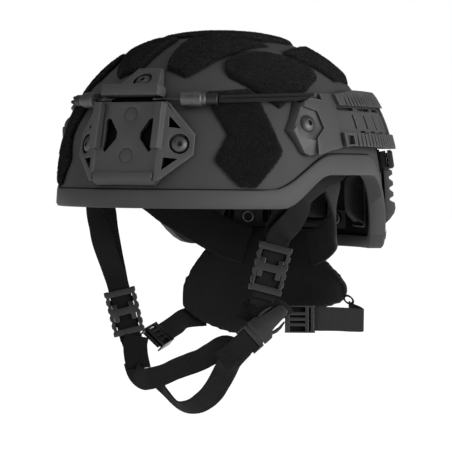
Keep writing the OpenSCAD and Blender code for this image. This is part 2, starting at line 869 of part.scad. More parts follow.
// Harness routes, as chosen points from the shell down, and their facings
view_facing = [sin(harness_turn), -cos(harness_turn), 0];
panel_right = [cos(harness_turn), sin(harness_turn), 0];
function panel_dir(tilt) = sin(tilt) * panel_right + [0, 0, cos(tilt)];
function panel_side(tilt) = cos(tilt) * panel_right - [0, 0, sin(tilt)];
web_off = tab_face + part_gap + web_t / 2;
function anchor_pt(i, d) = let (
    a = rail_screws_at[i][0], z = rail_screws_at[i][1],
    n = shell_normal(a, z), e = unit([-n[1], n[0], 0]))
    on_shell(a, z) - n * web_off
        + d * (cos(tab_turn[i]) * cross(e, n) + sin(tab_turn[i]) * e);
function anchor_facing(i) = shell_normal(rail_screws_at[i][0], rail_screws_at[i][1]);
adj_l = [85, -70, -44];
adj_l_tilt = 14;
adj_r = [-85, -13, -86];
adj_r_tilt = -14;
layer_step = (web_t + web_gap) / 2;
function in_adjuster(c, tilt, s, layer, side = 0) = c + panel_dir(tilt) * s
    + panel_side(tilt) * side + view_facing * layer * layer_step;
straight = adjuster_len / 2 + adjuster_travel + 1;
function in_run(c, tilt, layer) = [for (k = [1, 0.5, 0, -0.5, -1])
    in_adjuster(c, tilt, k * straight, layer)];
function times(v, n) = [for (i = [1:n]) v];
function on_tab(i) = [for (d = [7, 15, 24]) anchor_pt(i, d)];
module strap_front_l() {
    color(web_color)
        strap(concat(on_tab(0), [[92.1, -55.6, 20], [88.6, -53.9, 4],
            [86.1, -56.8, -8], in_adjuster(adj_l, adj_l_tilt, straight + 7, -1, -2.4)
            - view_facing * 2.8], in_run(adj_l, adj_l_tilt, -1),
            [in_adjuster(adj_l, adj_l_tilt, -straight - 7.5, -1) - view_facing * 3.8,
            [68.3, -69, -76], [62.3, -68, -84]]),
            concat(times(anchor_facing(0), 3), [[0.85, -0.5, 0], [0.75, -0.65, 0],
            [0.65, -0.75, 0]], times(view_facing, 9)));
}
module strap_rear_l() {
    color(web_color)
        strap(concat(on_tab(1), [[99, 14, 31], [99.5, -10, 24], [98.5, -36.5, 13],
            [97.6, -46.7, 1.4], [96, -57, -9],
            in_adjuster(adj_l, adj_l_tilt, straight + 6, 1, 2.2) + view_facing * 1.2],
            in_run(adj_l, adj_l_tilt, 1)),
            concat(times(anchor_facing(1), 3), [[1, 0, 0], [1, 0, 0], [1, 0, 0],
            [0.9, -0.43, 0], [0.66, -0.75, 0]], times(view_facing, 6)));
}
module strap_front_r() {
    color(web_color)
        strap(concat(flip_all(on_tab(0)), [[-98, -47, 21], [-98.4, -38.2, -3],
            [-96, -34.5, -16], [-93.7, -30.2, -32],
            in_adjuster(adj_r, adj_r_tilt, straight + 9, 1, -0.8)],
            in_run(adj_r, adj_r_tilt, 1)),
            concat(times(-flip(anchor_facing(0)), 3), [[0.95, 0.3, 0],
            [0.98, -0.15, 0], [0.85, -0.5, 0]], times(view_facing, 7)));
}
module strap_rear_r() {
    color(web_color)
        strap(concat(flip_all(on_tab(1)), [[-102, 12, 25], [-101.4, -13.2, 6],
            [-99.5, -17.6, -12], [-96.8, -15.8, -34],
            in_adjuster(adj_r, adj_r_tilt, straight + 9, -1, 0.4) - view_facing * 1.6],
            in_run(adj_r, adj_r_tilt, -1)),
            concat(times(-flip(anchor_facing(1)), 3), [[1, -0.05, 0],
            [0.95, -0.3, 0], [0.8, -0.6, 0], [0.7, -0.7, 0]],
            times(view_facing, 6)));
}

// Adjuster: bars in front of and behind the webbing, and notched side rails
bar_z = web_t + web_gap * 1.5;
adjuster_in = web_w / 2 + 0.7;
module adjuster() {
    side_w = 3.4;
    bar_t = 1.9;
    depth = bar_z + bar_t;
    across = 2 * adjuster_in + 1;
    color(plastic_color) {
        for (s = [-1, 1])
            scale([s, 1, 1])
                translate([adjuster_in, 0, -depth])
                    linear_extrude(2 * depth)
                        difference() {
                            translate([0, -adjuster_len / 2])
                                square([side_w, adjuster_len]);
                            for (y = [-2:2])
                                translate([side_w + 0.9, y * adjuster_len / 5.6])
                                    circle(r = 1.9);
                        }
        for (y = [-1, 1])
            translate([0, y * (adjuster_len / 2 - 2.6), bar_z + bar_t / 2])
                cube([across, 5, bar_t], center = true);
        translate([0, 0.6, bar_z + bar_t / 2])
            cube([across, 6, bar_t], center = true);
        for (x = [-1, 1])
            translate([x * 7, 0, bar_z + bar_t / 2])
                cube([4, 15, bar_t], center = true);
        for (y = [-1, 1])
            translate([0, y * 9, -bar_z - bar_t / 2])
                cube([across, 4.4, bar_t], center = true);
    }
}
module adjuster_l() {
    at_panel(adj_l, adj_l_tilt)
        adjuster();
}
module adjuster_r() {
    at_panel(adj_r, adj_r_tilt)
        adjuster();
}

// Chin buckle: its mouth at y = 0, its tail up the +Y side
buckle_at = [76.3, -75.4, -93];
buckle_tilt = 48;
buckle_t = 7;
plate_t = 1.3;
prong_x = 6.6;
prong_w = 2.4;
bar_y = -9.6;
bar_d = 2.6;
cheek_in = web_w / 2 + 0.35;
function buckle_pt(x, y, z) = buckle_at + panel_side(buckle_tilt) * x
    + panel_dir(buckle_tilt) * y + view_facing * z;
module at_buckle() {
    at_panel(buckle_at, buckle_tilt)
        children();
}
module buckle_female() {
    color(plastic_color)
        at_buckle()
            difference() {
                translate([0, 0, -buckle_t / 2])
                    linear_extrude(buckle_t)
                        polygon([[-8.9, 0], [-10.2, 3], [-10.2, 7], [-9, 8.4],
                            [-5.4, 10], [-4, 12.6], [-3.9, 27], [-3, 29],
                            [3, 29], [3.9, 27], [4, 12.6], [5.4, 10], [9, 8.4],
                            [10.2, 7], [10.2, 3], [8.9, 0]]);
                translate([-2.4, -1, -1.6])
                    cube([4.8, 13.4, 3.2]);
                for (s = [-1, 1])
                    translate([s * 8.6 - 4.2, -1, -buckle_t / 2 + plate_t])
                        cube([8.4, 12, buckle_t - 2 * plate_t]);
                translate([-6, 23.6, -buckle_t / 2 - 1])
                    cube([12, 3.4, 3.2]);
            }
}
module buckle_male() {
    color(plastic_color)
        at_buckle()
            difference() {
                union() {
                    translate([0, 0, -buckle_t / 2])
                        linear_extrude(buckle_t)
                            polygon([[-10, -4.4], [-9.6, -1.8], [-8.4, -0.4],
                                [8.4, -0.4], [9.6, -1.8], [10, -4.4]]);
                    for (s = [-1, 1])
                        translate([s * (cheek_in + 0.65) - 0.65, bar_y - 1.6,
                            -buckle_t / 2])
                            cube([1.3, -bar_y + 0.2, buckle_t]);
                    translate([-cheek_in - 0.6, bar_y, 0])
                        rotate([0, 90, 0])
                            cylinder(d = bar_d, h = 2 * cheek_in + 1.2);
                    translate([-2, -1, -1.2])
                        cube([4, 12.6, 2.4]);
                }
                for (s = [-1, 1])
                    translate([s * prong_x - prong_w / 2 - 0.15, -1.6, -2])
                        cube([prong_w + 0.3, 3, 4]);
            }
}
module prong(s) {
    x = prong_x;
    r = prong_w / 2;
    color("#48494c")
        at_buckle()
            scale([s, 1, 1])
                translate([0, 0, -1.8])
                    linear_extrude(3.6)
                        polygon([[x - r, -1.4], [x + r, -1.4], [x + r + 0.3, 7],
                            [x + 2.6, 10], [x + 3.3, 12.6], [x + 3, 17],
                            [x + 1.4, 22], [x + 0.4, 21.6], [x + 1, 16],
                            [x + 0.4, 11], [x - r, 7]]);
}
module buckle_prong_upper() {
    prong(-1);
}
module buckle_prong_lower() {
    prong(1);
}

// Chin straps: the upper one wraps the buckle's bar and its tail comes back
wrap_r = bar_d / 2 + 0.45 + web_t / 2;
module chin_strap_end() {
    color(web_color)
        strap([in_adjuster(adj_r, adj_r_tilt, -straight - 1.9, 0, 0.5),
            [-75.5, -10.2, -117], [-71.2, -13, -124.6]],
            [view_facing, [0.3, -0.95, 0], [0.1, -1, 0]]);
}
module chin_strap_upper() {
    color(web_color)
        strap([[-70.6, -14.2, -126.8], [-64.5, -21.3, -133], [-54, -31, -136.4],
            [-43.3, -38.6, -136.3], [-25.8, -47, -132], [-9.1, -54.8, -126],
            [7, -61.3, -120.8], [20.7, -66, -116.4], [36.2, -71.5, -109.5],
            [48.6, -75, -104.2], buckle_pt(-1.5, -20, -4),
            buckle_pt(0, bar_y - 4, -wrap_r - 0.4), buckle_pt(0, bar_y, -wrap_r),
            buckle_pt(0, bar_y + wrap_r * 0.7, -wrap_r * 0.7),
            buckle_pt(0, bar_y + wrap_r, 0),
            buckle_pt(0, bar_y + wrap_r * 0.7, wrap_r * 0.7),
            buckle_pt(0, bar_y, wrap_r), buckle_pt(0, bar_y - 5, wrap_r + 0.5),
            buckle_pt(-0.6, -24, 3), buckle_pt(-1.6, -34, 2.4)],
            concat([[0, -1, 0], [-0.25, -0.95, 0], [-0.45, -0.85, 0],
            [-0.5, -0.85, 0], [-0.4, -0.9, 0.1], [-0.3, -0.95, 0.1],
            [-0.2, -1, 0.1], [-0.1, -1, 0.1], [0.2, -0.95, 0]],
            times(view_facing, 4), [view_facing - panel_dir(buckle_tilt),
            -panel_dir(buckle_tilt), -view_facing - panel_dir(buckle_tilt)],
            times(-view_facing, 4)));
}
module chin_strap_lower() {
    color(web_color)
        strap([[-41.4, -33.2, -136.5], [-31.8, -37.4, -142.8],
            [-21.4, -43.2, -149], [-11, -47.6, -154], [-1.4, -51.4, -155.7],
            [10.2, -55.4, -153.4], [20.9, -59.9, -148.3], [31.7, -65.5, -141.2],
            [41.8, -71.6, -131.6], [50.6, -77, -121.8], buckle_pt(2, -27, 0),
            buckle_pt(0.6, bar_y - 4.5, 0)],
            concat([[-0.4, -0.8, -0.25], [-0.3, -0.75, -0.45], [-0.15, -0.7, -0.6],
            [-0.05, -0.65, -0.7], [0.05, -0.6, -0.75], [0.2, -0.65, -0.65],
            [0.3, -0.75, -0.5], [0.4, -0.85, -0.3], [0.5, -0.85, -0.1]],
            times(view_facing, 3)));
}

// Nape pad, curved round the neck, its waist towards the wearer's right
nape_shift = 7;
nape_low = -108;
nape_top = -16;
nape_cy = 8;
function nape_pt(a, z, off) = [nape_shift + (nape_bend + off) * sin(a),
    nape_cy + (nape_bend + off) * cos(a), z];
module nape_pad() {
    rows = 12;
    cols = 16;
    w = nape_half_w;
    left = [-22, -8, 24, 56, 56, 36, 25, 26, 27];
    right = [36, 52.5, 61, 61.5, 60, 56, 50, 45, 39];
    grow = w / 77;
    function skin(side) = [for (i = [0:rows]) let (
        q = along([for (k = [0:8]) [left[k], right[k]]], i / rows) * grow,
        z = mix(nape_low, nape_top, i / rows))
        [for (j = [0:cols]) nape_pt(mix(q[0], -q[1], j / cols), z,
            side * nape_t * (0.3 + 0.7 * pad_bulge(j / cols, i / rows)) / 2)]];
    color(pad_color)
        slab(skin(1), skin(-1));
}
yoke_in = -nape_t / 2 - 2.2;
module nape_yoke_l() {
    color(pad_color)
        strap([[94, -2, 36], [94, 8, 20], [91, 20, 5], [81, 36, -9],
            nape_pt(47, -19, yoke_in), nape_pt(30, -29, yoke_in),
            nape_pt(18, -34, yoke_in)],
            [[1, 0, 0], [1, 0.1, 0], [0.95, 0.3, 0], [0.8, 0.6, 0],
            nape_facing(47), nape_facing(30), nape_facing(18)], 30, 2.4);
}
function nape_facing(a) = [sin(a), cos(a), 0];
module nape_yoke_r() {
    color(pad_color)
        strap([[-92, -4, 42], [-93, 6, 31], [-92.5, 19, 19], [-85, 34, 8],
            [-74, 45, -3], nape_pt(-50, -17, yoke_in), nape_pt(-38, -26, yoke_in),
            nape_pt(-24, -33, yoke_in)],
            [[-1, 0, 0], [-1, 0.1, 0], [-0.95, 0.3, 0], [-0.85, 0.5, 0],
            [-0.75, 0.65, 0], nape_facing(-50), nape_facing(-38),
            nape_facing(-24)], 32, 2.4);
}

// Nape straps and the ladder buckles that tighten them
nape_buckle_l_at = [94.6, -41, -83];
nape_buckle_r_at = [-71, 14.9, -107.2];
nape_w = web_w - 0.5;
module at_strap(p, d, n) {
    f = atan2(n[1], n[0]);
    t = acos(n[2] / norm(n));
    e1 = [cos(t) * cos(f), cos(t) * sin(f), -sin(t)];
    e2 = [-sin(f), cos(f), 0];
    translate(p)
        rotate([0, t, f])
            rotate([0, 0, atan2(d * e2, d * e1)])
                children();
}
buckle_r_dir = unit([-0.19, 0.97, 0.15]);
buckle_r_face = unit(cross([0.657, 0.401, -0.64], buckle_r_dir));
module nape_strap_l() {
    color(web_color)
        strap([nape_buckle_l_at - panel_right * 5, nape_buckle_l_at + panel_right * 5,
            nape_buckle_l_at + panel_right * 12.5, [106, -16, -83.6],
            [105.6, 2, -84.6], [103.4, 22, -86], [101, 38, -87], [98, 48.5, -87.4],
            [93.5, 54.5, -84], [89.5, 58, -77.5],
            nape_pt(53, -71, nape_t / 2 + 0.2), nape_pt(46, -69, nape_t / 2 + 0.9)],
            [view_facing, view_facing, view_facing, [0.85, -0.5, 0], [1, -0.1, 0],
            [1, 0.1, 0], [1, 0.15, 0], [0.85, 0.55, 0], [0.5, 0.8, 0],
            [0.6, 0.75, 0], nape_facing(54), nape_facing(46)], nape_w);
}
module nape_strap_r() {
    p = nape_buckle_r_at;
    d = buckle_r_dir;
    color(web_color)
        strap([p - d * 14.4, p - d * 6, p + d * 7, p + d * 15, [-72.5, 45, -99.5],
            nape_pt(-57, -94.5, nape_t / 2 + 1.1),
            nape_pt(-46, -93, nape_t / 2 + 1.1)],
            concat(times(buckle_r_face, 4), [[-0.8, 0.2, -0.4], nape_facing(-57),
            nape_facing(-46)]), nape_w);
}
module nape_buckle() {
    w = 23;
    h = nape_w + 4;
    bar_t = 2;
    side = (h - nape_w - 1.4) / 2;
    color(plastic_color) {
        for (s = [-1, 1])
            translate([-w / 2, s * (h - side) / 2 - side / 2, -bar_z - bar_t])
                cube([w, side, 2 * (bar_z + bar_t)]);
        for (x = [-w / 2, w / 2 - 3.4, w / 2 - 7.6])
            translate([x, -h / 2 + 0.2, bar_z])
                cube([x < 0 ? 3.6 : 2.6, h - 0.4, bar_t]);
        for (y = [-5.4, -1.2, 3])
            translate([-w / 2 + 1, y, bar_z])
                cube([w - 6, 2.4, bar_t]);
        translate([-2.5, -h / 2 + 0.2, -bar_z - bar_t])
            cube([5, h - 0.4, bar_t]);
    }
}
module nape_buckle_l() {
    at_panel(nape_buckle_l_at)
        nape_buckle();
}
module nape_buckle_r() {
    at_strap(nape_buckle_r_at, buckle_r_dir, buckle_r_face)
        nape_buckle();
}

// Short link from the left adjuster's lower bar to the nape buckle
module link_strap() {
    color(web_color)
        strap([in_adjuster(adj_l, adj_l_tilt, -straight - 0.5, -1, 5)
                - view_facing * 3.4, [86, -63, -70.5], [89.6, -59, -73.3],
            [90.6, -54, -76.5], [89.8, -50.6, -79]],
            [view_facing, view_facing, view_facing, view_facing, view_facing], 8);
}

shell();
rim_trim();
loop_patch_crown();
loop_patch_front_l();
mirror([1, 0, 0]) loop_patch_front_l();  // loop_patch_front_r
loop_patch_upper_l();
mirror([1, 0, 0]) loop_patch_upper_l();  // loop_patch_upper_r
loop_patch_side_l();
mirror([1, 0, 0]) loop_patch_side_l();  // loop_patch_side_r
loop_patch_rear_l();
mirror([1, 0, 0]) loop_patch_rear_l();  // loop_patch_rear_r
shroud();
shroud_inserts();
shroud_screws();
rail_l();
mirror([1, 0, 0]) rail_l();  // rail_r
rail_screws();
inner_nuts();
strap_anchors();
rear_bracket();
link_strap();
goggle_clip_l();
mirror([1, 0, 0]) goggle_clip_l();  // goggle_clip_r
rear_bumper();
lanyard_cord_l();
mirror([1, 0, 0]) lanyard_cord_l();  // lanyard_cord_r
lanyard_ferrule_l();
mirror([1, 0, 0]) lanyard_ferrule_l();  // lanyard_ferrule_r
lanyard_hook_l();
mirror([1, 0, 0]) lanyard_hook_l();  // lanyard_hook_r
pad_fasteners();
pad_crown();
pad_front();
pad_rear();
pad_temple_l();
mirror([1, 0, 0]) pad_temple_l();  // pad_temple_r
pad_rear_side_l();
mirror([1, 0, 0]) pad_rear_side_l();  // pad_rear_side_r
strap_front_l();
strap_front_r();
strap_rear_l();
strap_rear_r();
adjuster_l();
adjuster_r();
chin_strap_end();
chin_strap_upper();
chin_strap_lower();
buckle_female();
buckle_male();
buckle_prong_upper();
buckle_prong_lower();
nape_pad();
nape_yoke_l();
nape_yoke_r();
nape_strap_l();
nape_strap_r();
nape_buckle_l();
nape_buckle_r();
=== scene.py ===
"""The looks of a combat helmet: woven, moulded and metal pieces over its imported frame."""
import json
import random
from math import copysign, cos, pi, radians, sin

import bmesh
import bpy
import numpy as np
from mathutils import Matrix, Vector, noise


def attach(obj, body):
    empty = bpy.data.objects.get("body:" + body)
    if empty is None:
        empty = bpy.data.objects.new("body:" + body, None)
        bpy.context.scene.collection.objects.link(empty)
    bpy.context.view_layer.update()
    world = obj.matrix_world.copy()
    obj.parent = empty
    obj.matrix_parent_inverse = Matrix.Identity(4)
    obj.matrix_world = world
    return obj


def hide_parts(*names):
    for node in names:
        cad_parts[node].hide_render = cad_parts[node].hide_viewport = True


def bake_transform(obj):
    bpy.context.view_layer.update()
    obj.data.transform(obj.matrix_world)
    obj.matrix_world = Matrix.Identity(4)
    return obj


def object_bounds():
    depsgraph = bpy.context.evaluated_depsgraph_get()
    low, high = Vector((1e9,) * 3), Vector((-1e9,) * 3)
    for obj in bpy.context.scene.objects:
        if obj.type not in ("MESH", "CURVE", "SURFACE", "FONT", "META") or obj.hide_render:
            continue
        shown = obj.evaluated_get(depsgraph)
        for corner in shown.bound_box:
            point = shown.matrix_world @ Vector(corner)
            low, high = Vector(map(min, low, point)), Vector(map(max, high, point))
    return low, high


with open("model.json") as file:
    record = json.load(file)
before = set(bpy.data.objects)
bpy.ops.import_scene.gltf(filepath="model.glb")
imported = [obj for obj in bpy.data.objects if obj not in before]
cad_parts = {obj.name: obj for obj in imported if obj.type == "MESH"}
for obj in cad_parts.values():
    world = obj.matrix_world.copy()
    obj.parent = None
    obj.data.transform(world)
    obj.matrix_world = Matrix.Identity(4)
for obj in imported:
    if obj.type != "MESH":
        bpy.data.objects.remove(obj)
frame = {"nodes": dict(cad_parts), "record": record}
CAD_BOX = [list(v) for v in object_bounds()]
scene = bpy.context.scene
MM = 0.001

# Camera at the photograph's angle, in degrees, metres and pixels of the photograph

AZIMUTH, ELEVATION, ROLL = (radians(v) for v in (31.4, 1.0, 0.4))
PHOTO_PX, MM_A_PX = 452, 0.798
RIGHT_PX, UP_PX = 3.3, -18.7
CAMERA_FAR, SENSOR = 1.8, 36
BACK = Vector((sin(AZIMUTH) * cos(ELEVATION),
               -cos(AZIMUTH) * cos(ELEVATION), sin(ELEVATION)))
LEVEL = Vector((cos(AZIMUTH), sin(AZIMUTH), 0))
RISE = BACK.cross(LEVEL)
RIGHT = LEVEL * cos(ROLL) + RISE * sin(ROLL)
UP = RISE * cos(ROLL) - LEVEL * sin(ROLL)


def in_scene(name, data):
    thing = bpy.data.objects.new(name, data)
    scene.collection.objects.link(thing)
    return thing


def turned_to(right, up, back, place):
    """The matrix of a camera or lamp at a place, looking away from back."""
    m = Matrix((right, up, back)).transposed().to_4x4()
    m.translation = place
    return m


lens = bpy.data.cameras.new("camera")
lens.sensor_width = SENSOR
lens.lens = SENSOR * CAMERA_FAR / (PHOTO_PX * MM_A_PX * MM)
lens.shift_x = RIGHT_PX / PHOTO_PX
lens.shift_y = UP_PX / PHOTO_PX
lens.clip_end = 50
camera = in_scene("camera", lens)
camera.matrix_world = turned_to(RIGHT, UP, BACK, BACK * CAMERA_FAR)
scene.camera = camera
scene.view_settings.view_transform = "Standard"


# Finishes


def linear(code, gain=1.0):
    """An sRGB hex colour as linear light, brightened by gain."""
    levels = [int(code[i:i + 2], 16) / 255 for i in (1, 3, 5)]
    light = [v / 12.92 if v <= 0.04045 else ((v + 0.055) / 1.055) ** 2.4 for v in levels]
    return (*(min(1, v * gain) for v in light), 1)


def grey(level):
    return (level, level, level, 1)


def add_node(tree, kind, links=None, at=None, **values):
    """A new node with its settings, its input values by name or by number, and its links."""
    node = tree.nodes.new(kind)
    for key, value in values.items():
        label = key.replace("_", " ")
        if label in node.inputs:
            node.inputs[label].default_value = value
        else:
            setattr(node, key, value)
    for number, value in (at or {}).items():
        node.inputs[number].default_value = value
    for key, source in (links or {}).items():
        tree.links.new(source, node.inputs[key])
    return node


class Finish:
    """A material under way: its shader and its patterns, whose sizes are in millimetres."""

    def __init__(self, name, rough, specular, metallic=0.0, sheen=0.0):
        self.mat = bpy.data.materials.new(name)
        self.mat.use_nodes = True
        self.tree = self.mat.node_tree
        self.shader = self.tree.nodes["Principled BSDF"]
        for key, value in (("Roughness", rough), ("Specular IOR Level", specular),
                           ("Metallic", metallic), ("Sheen Weight", sheen),
                           ("Sheen Roughness", 0.6)):
            self.shader.inputs[key].default_value = value
        self.coords = self.add("TexCoord")

    def add(self, kind, links=None, at=None, **values):
        return add_node(self.tree, "ShaderNode" + kind, links, at, **values)

    def grain(self, size, detail=3.0, stretch=None):
        """Soft noise, its grains size across."""
        vector = self.coords.outputs["Object"]
        if stretch:
            vector = self.add("Mapping", {"Vector": vector}, Scale=stretch).outputs[0]
        return self.add("TexNoise", {"Vector": vector}, Scale=1 / (size * MM),
                        Detail=detail).outputs["Fac"]

    def cells(self, size):
        """Round cells, size apart."""
        return self.add("TexVoronoi", {"Vector": self.coords.outputs["Object"]},
                        Scale=1 / (size * MM)).outputs["Distance"]

    def ribs(self, pitch, axis, twist):
        """Ribs of a weave along one axis of its own coordinates, pitch apart. A wave of scale 1
        repeats each tenth of pi."""
        return self.add("TexWave", {"Vector": self.coords.outputs["UV"]},
                        bands_direction=axis, Scale=pi / (10 * pitch * MM),
                        Distortion=twist, Detail=1.0, Detail_Scale=0.6).outputs["Fac"]

    def ramp(self, source, low, high, at=(0.35, 0.65)):
        node = self.add("ValToRGB", {"Fac": source})
        for element, place, color in zip(node.color_ramp.elements, at, (low, high)):
            element.position = place
            element.color = color
        return node.outputs["Color"]

    def blend(self, kind, factor, a, b):
        node = self.add("Mix", data_type="RGBA", blend_type=kind)
        for i, value in ((0, factor), (6, a), (7, b)):
            if isinstance(value, (float, tuple)):
                node.inputs[i].default_value = value
            else:
                self.tree.links.new(value, node.inputs[i])
        return node.outputs[2]

    def sum(self, a, share, b):
        """A share of pattern a on top of pattern b."""
        return self.add("Math", {0: a, 2: b}, {1: share},
                        operation="MULTIPLY_ADD").outputs[0]

    def bump(self, height, strength, depth, under=None):
        links = {"Height": height}
        if under is not None:
            links["Normal"] = under
        return self.add("Bump", links, Strength=strength,
                        Distance=depth * MM).outputs["Normal"]

    def spotted(self, color, share, size, detail, low):
        """The colour with darker patches, down to low of it."""
        return self.blend("MULTIPLY", share, color,
                          self.ramp(self.grain(size, detail), grey(low), grey(1)))

    def worn_and_highlit_edges(self, color, light, reach=0.8, rubs=8.3):
        """Lighter edges within reach of a corner, in patches: partly wear and partly painted
        highlight.
        """
        soft = self.add("Bevel", Radius=reach * MM, samples=4)
        match = self.add("VectorMath",
                         {0: soft.outputs[0],
                          1: self.add("NewGeometry").outputs["Normal"]},
                         operation="DOT_PRODUCT")
        edge = self.ramp(match.outputs["Value"], grey(1), grey(0), (0.93, 0.995))
        rub = self.ramp(self.grain(rubs, 4), grey(0.25), grey(0.95))
        return self.blend("MIX", self.blend("MULTIPLY", 1.0, edge, rub), color, light)

    def painted_recess_shade(self, color, reach=7, dark=0.3):
        """Painted shade: darker where another surface is within reach."""
        near = self.add("AmbientOcclusion", Distance=reach * MM, samples=6)
        depth = self.ramp(near.outputs["AO"], grey(dark), grey(1), (0.3, 0.85))
        return self.blend("MULTIPLY", 1.0, color, depth)

    def done(self, color, normal, rough=None):
        self.tree.links.new(color, self.shader.inputs["Base Color"])
        self.tree.links.new(normal, self.shader.inputs["Normal"])
        if rough is not None:
            self.tree.links.new(rough, self.shader.inputs["Roughness"])
        return self.mat


def moulded(name, code, rough=0.55, grain=0.77, depth=0.09, wear_and_highlight=1.9, specular=0.4,
            clouds=0.06, dark=0.35):
    """A moulded or sprayed surface: speckle grain across and depth high, edges lighter by a
    factor, partly wear and partly painted highlight, painted shade in recesses, and the clouds
    and smears that hands leave."""
    cloud_size, smear_size, ripple_size, ripple_high = 38.5, 16.7, 5.3, 0.15
    f = Finish(name, rough, specular)
    base = f.ramp(f.grain(cloud_size, 4), linear(code, 1 - clouds), linear(code, 1 + clouds))
    speck = f.grain(grain, 2)
    color = f.blend("MULTIPLY", 0.25, base, f.ramp(speck, grey(0.72), grey(1)))
    # Edges lighter, partly wear and partly painted highlight, and painted shade in recesses
    color = f.painted_recess_shade(f.worn_and_highlit_edges(color, linear(code, wear_and_highlight)), dark=dark)
    shine = f.add("MapRange", {"Value": f.grain(smear_size, 3)},
                  To_Min=rough - 0.05, To_Max=rough + 0.07)
    ripple = f.bump(f.grain(ripple_size, 3), 0.25, ripple_high)
    return f.done(color, f.bump(speck, 0.5, depth, ripple), shine.outputs[0])


def metal(name, code, rough=0.35, wear_and_highlight=1.5):
    """Steel or alloy with fine lines of its turning, 0.05 mm apart. They are drawn at 0.2 mm,
    because a pixel shows 0.8 mm."""
    stain_size, line_size, lines_closer, line_high = 3.3, 2.5, 12, 0.04
    f = Finish(name, rough, 0.5, metallic=0.85)
    base = f.ramp(f.grain(stain_size, 3), linear(code, 0.85), linear(code, 1.12))
    lines = f.grain(line_size, 2, (1, 1, lines_closer))
    # Edges lighter, partly wear and partly painted highlight, and painted shade in recesses
    color = f.painted_recess_shade(f.worn_and_highlit_edges(base, linear(code, wear_and_highlight)), 3, 0.25)
    return f.done(color, f.bump(lines, 0.35, line_high))


def webbing(name, code, pitch=2.2, rows=1.5, gain=1.35):
    """Woven nylon: ribs pitch apart along it and rows of weft across, under a fuzz of fibres."""
    fuzz_size, fuzz_high, rib_high, dull_size, fold_shade_reach = 0.417, 0.12, 0.22, 25, 30
    f = Finish(name, 0.86, 0.2, sheen=0.06)
    height = f.sum(f.ribs(pitch, "X", 0.4), 0.3, f.ribs(rows, "Y", 1.2))
    fuzz = f.grain(fuzz_size, 2)
    # Colour follows the weave's height: darker in its grooves, which is painted shade, and
    # painted shade within 30 mm of other surfaces
    color = f.ramp(f.sum(fuzz, 0.5, height), linear(code, 0.62), linear(code, gain), (0.4, 1.0))
    color = f.painted_recess_shade(f.spotted(color, 0.35, dull_size, 3, 0.7), fold_shade_reach, 0.4)
    return f.done(color, f.bump(height, 0.9, rib_high, f.bump(fuzz, 0.4, fuzz_high)))


def knit(name, code, cell, gain=1.25, sheen=0.3):
    """Knitted cloth with loops cell apart and a fuzz over them."""
    fuzz_size, loop_high, dull_size, fold_shade_reach = 0.59, 0.2, 33.3, 30
    f = Finish(name, 0.92, 0.2, sheen=sheen)
    loops = f.cells(cell)
    # Colour darker in the middle of each cell, the knit's holes, which is painted shade, and
    # painted shade within 30 mm of other surfaces
    color = f.ramp(loops, linear(code, 0.5), linear(code, gain), (0.25, 0.75))
    color = f.painted_recess_shade(f.spotted(color, 0.5, dull_size, 4, 0.72), fold_shade_reach, 0.4)
    fuzz = f.bump(f.grain(fuzz_size, 3), 0.5, loop_high)
    return f.done(color, f.bump(loops, 0.5, loop_high, fuzz))


def pile(name, code):
    """Brushed loops that stand in tufts and swallow light."""
    tuft_size, tuft_high, loop_size, loop_high, crushed_size = 1.333, 0.9, 0.667, 0.4, 9.1
    f = Finish(name, 0.95, 0.08, sheen=0.1)
    tufts = f.grain(tuft_size, 5)
    color = f.ramp(tufts, linear(code, 0.45), linear(code, 1.75), (0.36, 0.66))
    loops = f.bump(f.cells(loop_size), 0.6, loop_high)
    color = f.spotted(color, 0.6, crushed_size, 3, 0.7)
    return f.done(color, f.bump(tufts, 0.9, tuft_high, loops))


# The numbers of a moulded finish: roughness, grain, depth, edge wear and painted highlight,
# gloss, clouds, darkest painted shade in recesses.
# Pressed aramid, sprayed with matte paint that holds 0.2 mm grit: an even grey without gloss.
# The grit, and the 0.1 mm tool grain of the plastics, are drawn 0.7 to 0.9 mm wide to show.
SHELL_PAINT = moulded("shell_paint", "#474747", 0.66, 0.91, 0.12, 1.2, 0.25, 0.05, 0.5)
# Inside the shell: a near-black that is painted shade, as the inside lies in shadow
INSIDE_SHADE = moulded("inside_painted_shade", "#121212", 0.8, 0.91, 0.1, 1.2, 0.2)
# Extruded rubber: a shade lighter than the paint, with a dull, even shine along the rim
TRIM_RUBBER = moulded("trim_rubber", "#515151", 0.62, 0.667, 0.06, 1.25, 0.3, 0.04, 0.5)
# Glass-filled nylon from a grained tool: half matte, with light edges, partly rubbed by mounts
# and partly painted highlight, and deep painted shade in its recesses
SHROUD_PLASTIC = moulded("shroud_plastic", "#4d4d4d", 0.5, 0.667, 0.07, 3.2, dark=0.12)
INSERT_PLASTIC = moulded("insert_plastic", "#494949", 0.5, 0.667, 0.07, 1.6)
BLACK_PLASTIC = moulded("black_plastic", "#242424", 0.5, 0.667, 0.07, 2.2)
# Acetal from a polished tool: glossy black, with bright edges, partly painted highlight and
# partly wear where the webbing has run
BUCKLE_PLASTIC = moulded("buckle_plastic", "#1e1e1e", 0.3, 0.714, 0.05, 6.0, 0.5)
CHIN_BUCKLE = moulded("chin_buckle_plastic", "#1f1f1f", 0.34, 0.714, 0.05, 3.5, 0.5)
# Turned and blackened steel screws, a plated snap, anodised ferrules and drawn wire
SCREW_STEEL = metal("screw_steel", "#595959", 0.5)
SNAP_STEEL = metal("snap_steel", "#8b8b8b")
FERRULE_METAL = metal("ferrule_metal", "#626262", 0.5)
FERRULE_SLEEVE = metal("ferrule_sleeve", "#3a3a3a", 0.55)
WIRE_STEEL = metal("wire_steel", "#4d4d4d", 0.4)
# Woven nylon webbing: soft, ribbed and dull. Its ribs are 1.1 mm apart and are drawn at 2.2.
STRAP_WEAVE = webbing("strap_weave", "#171717", gain=1.0)
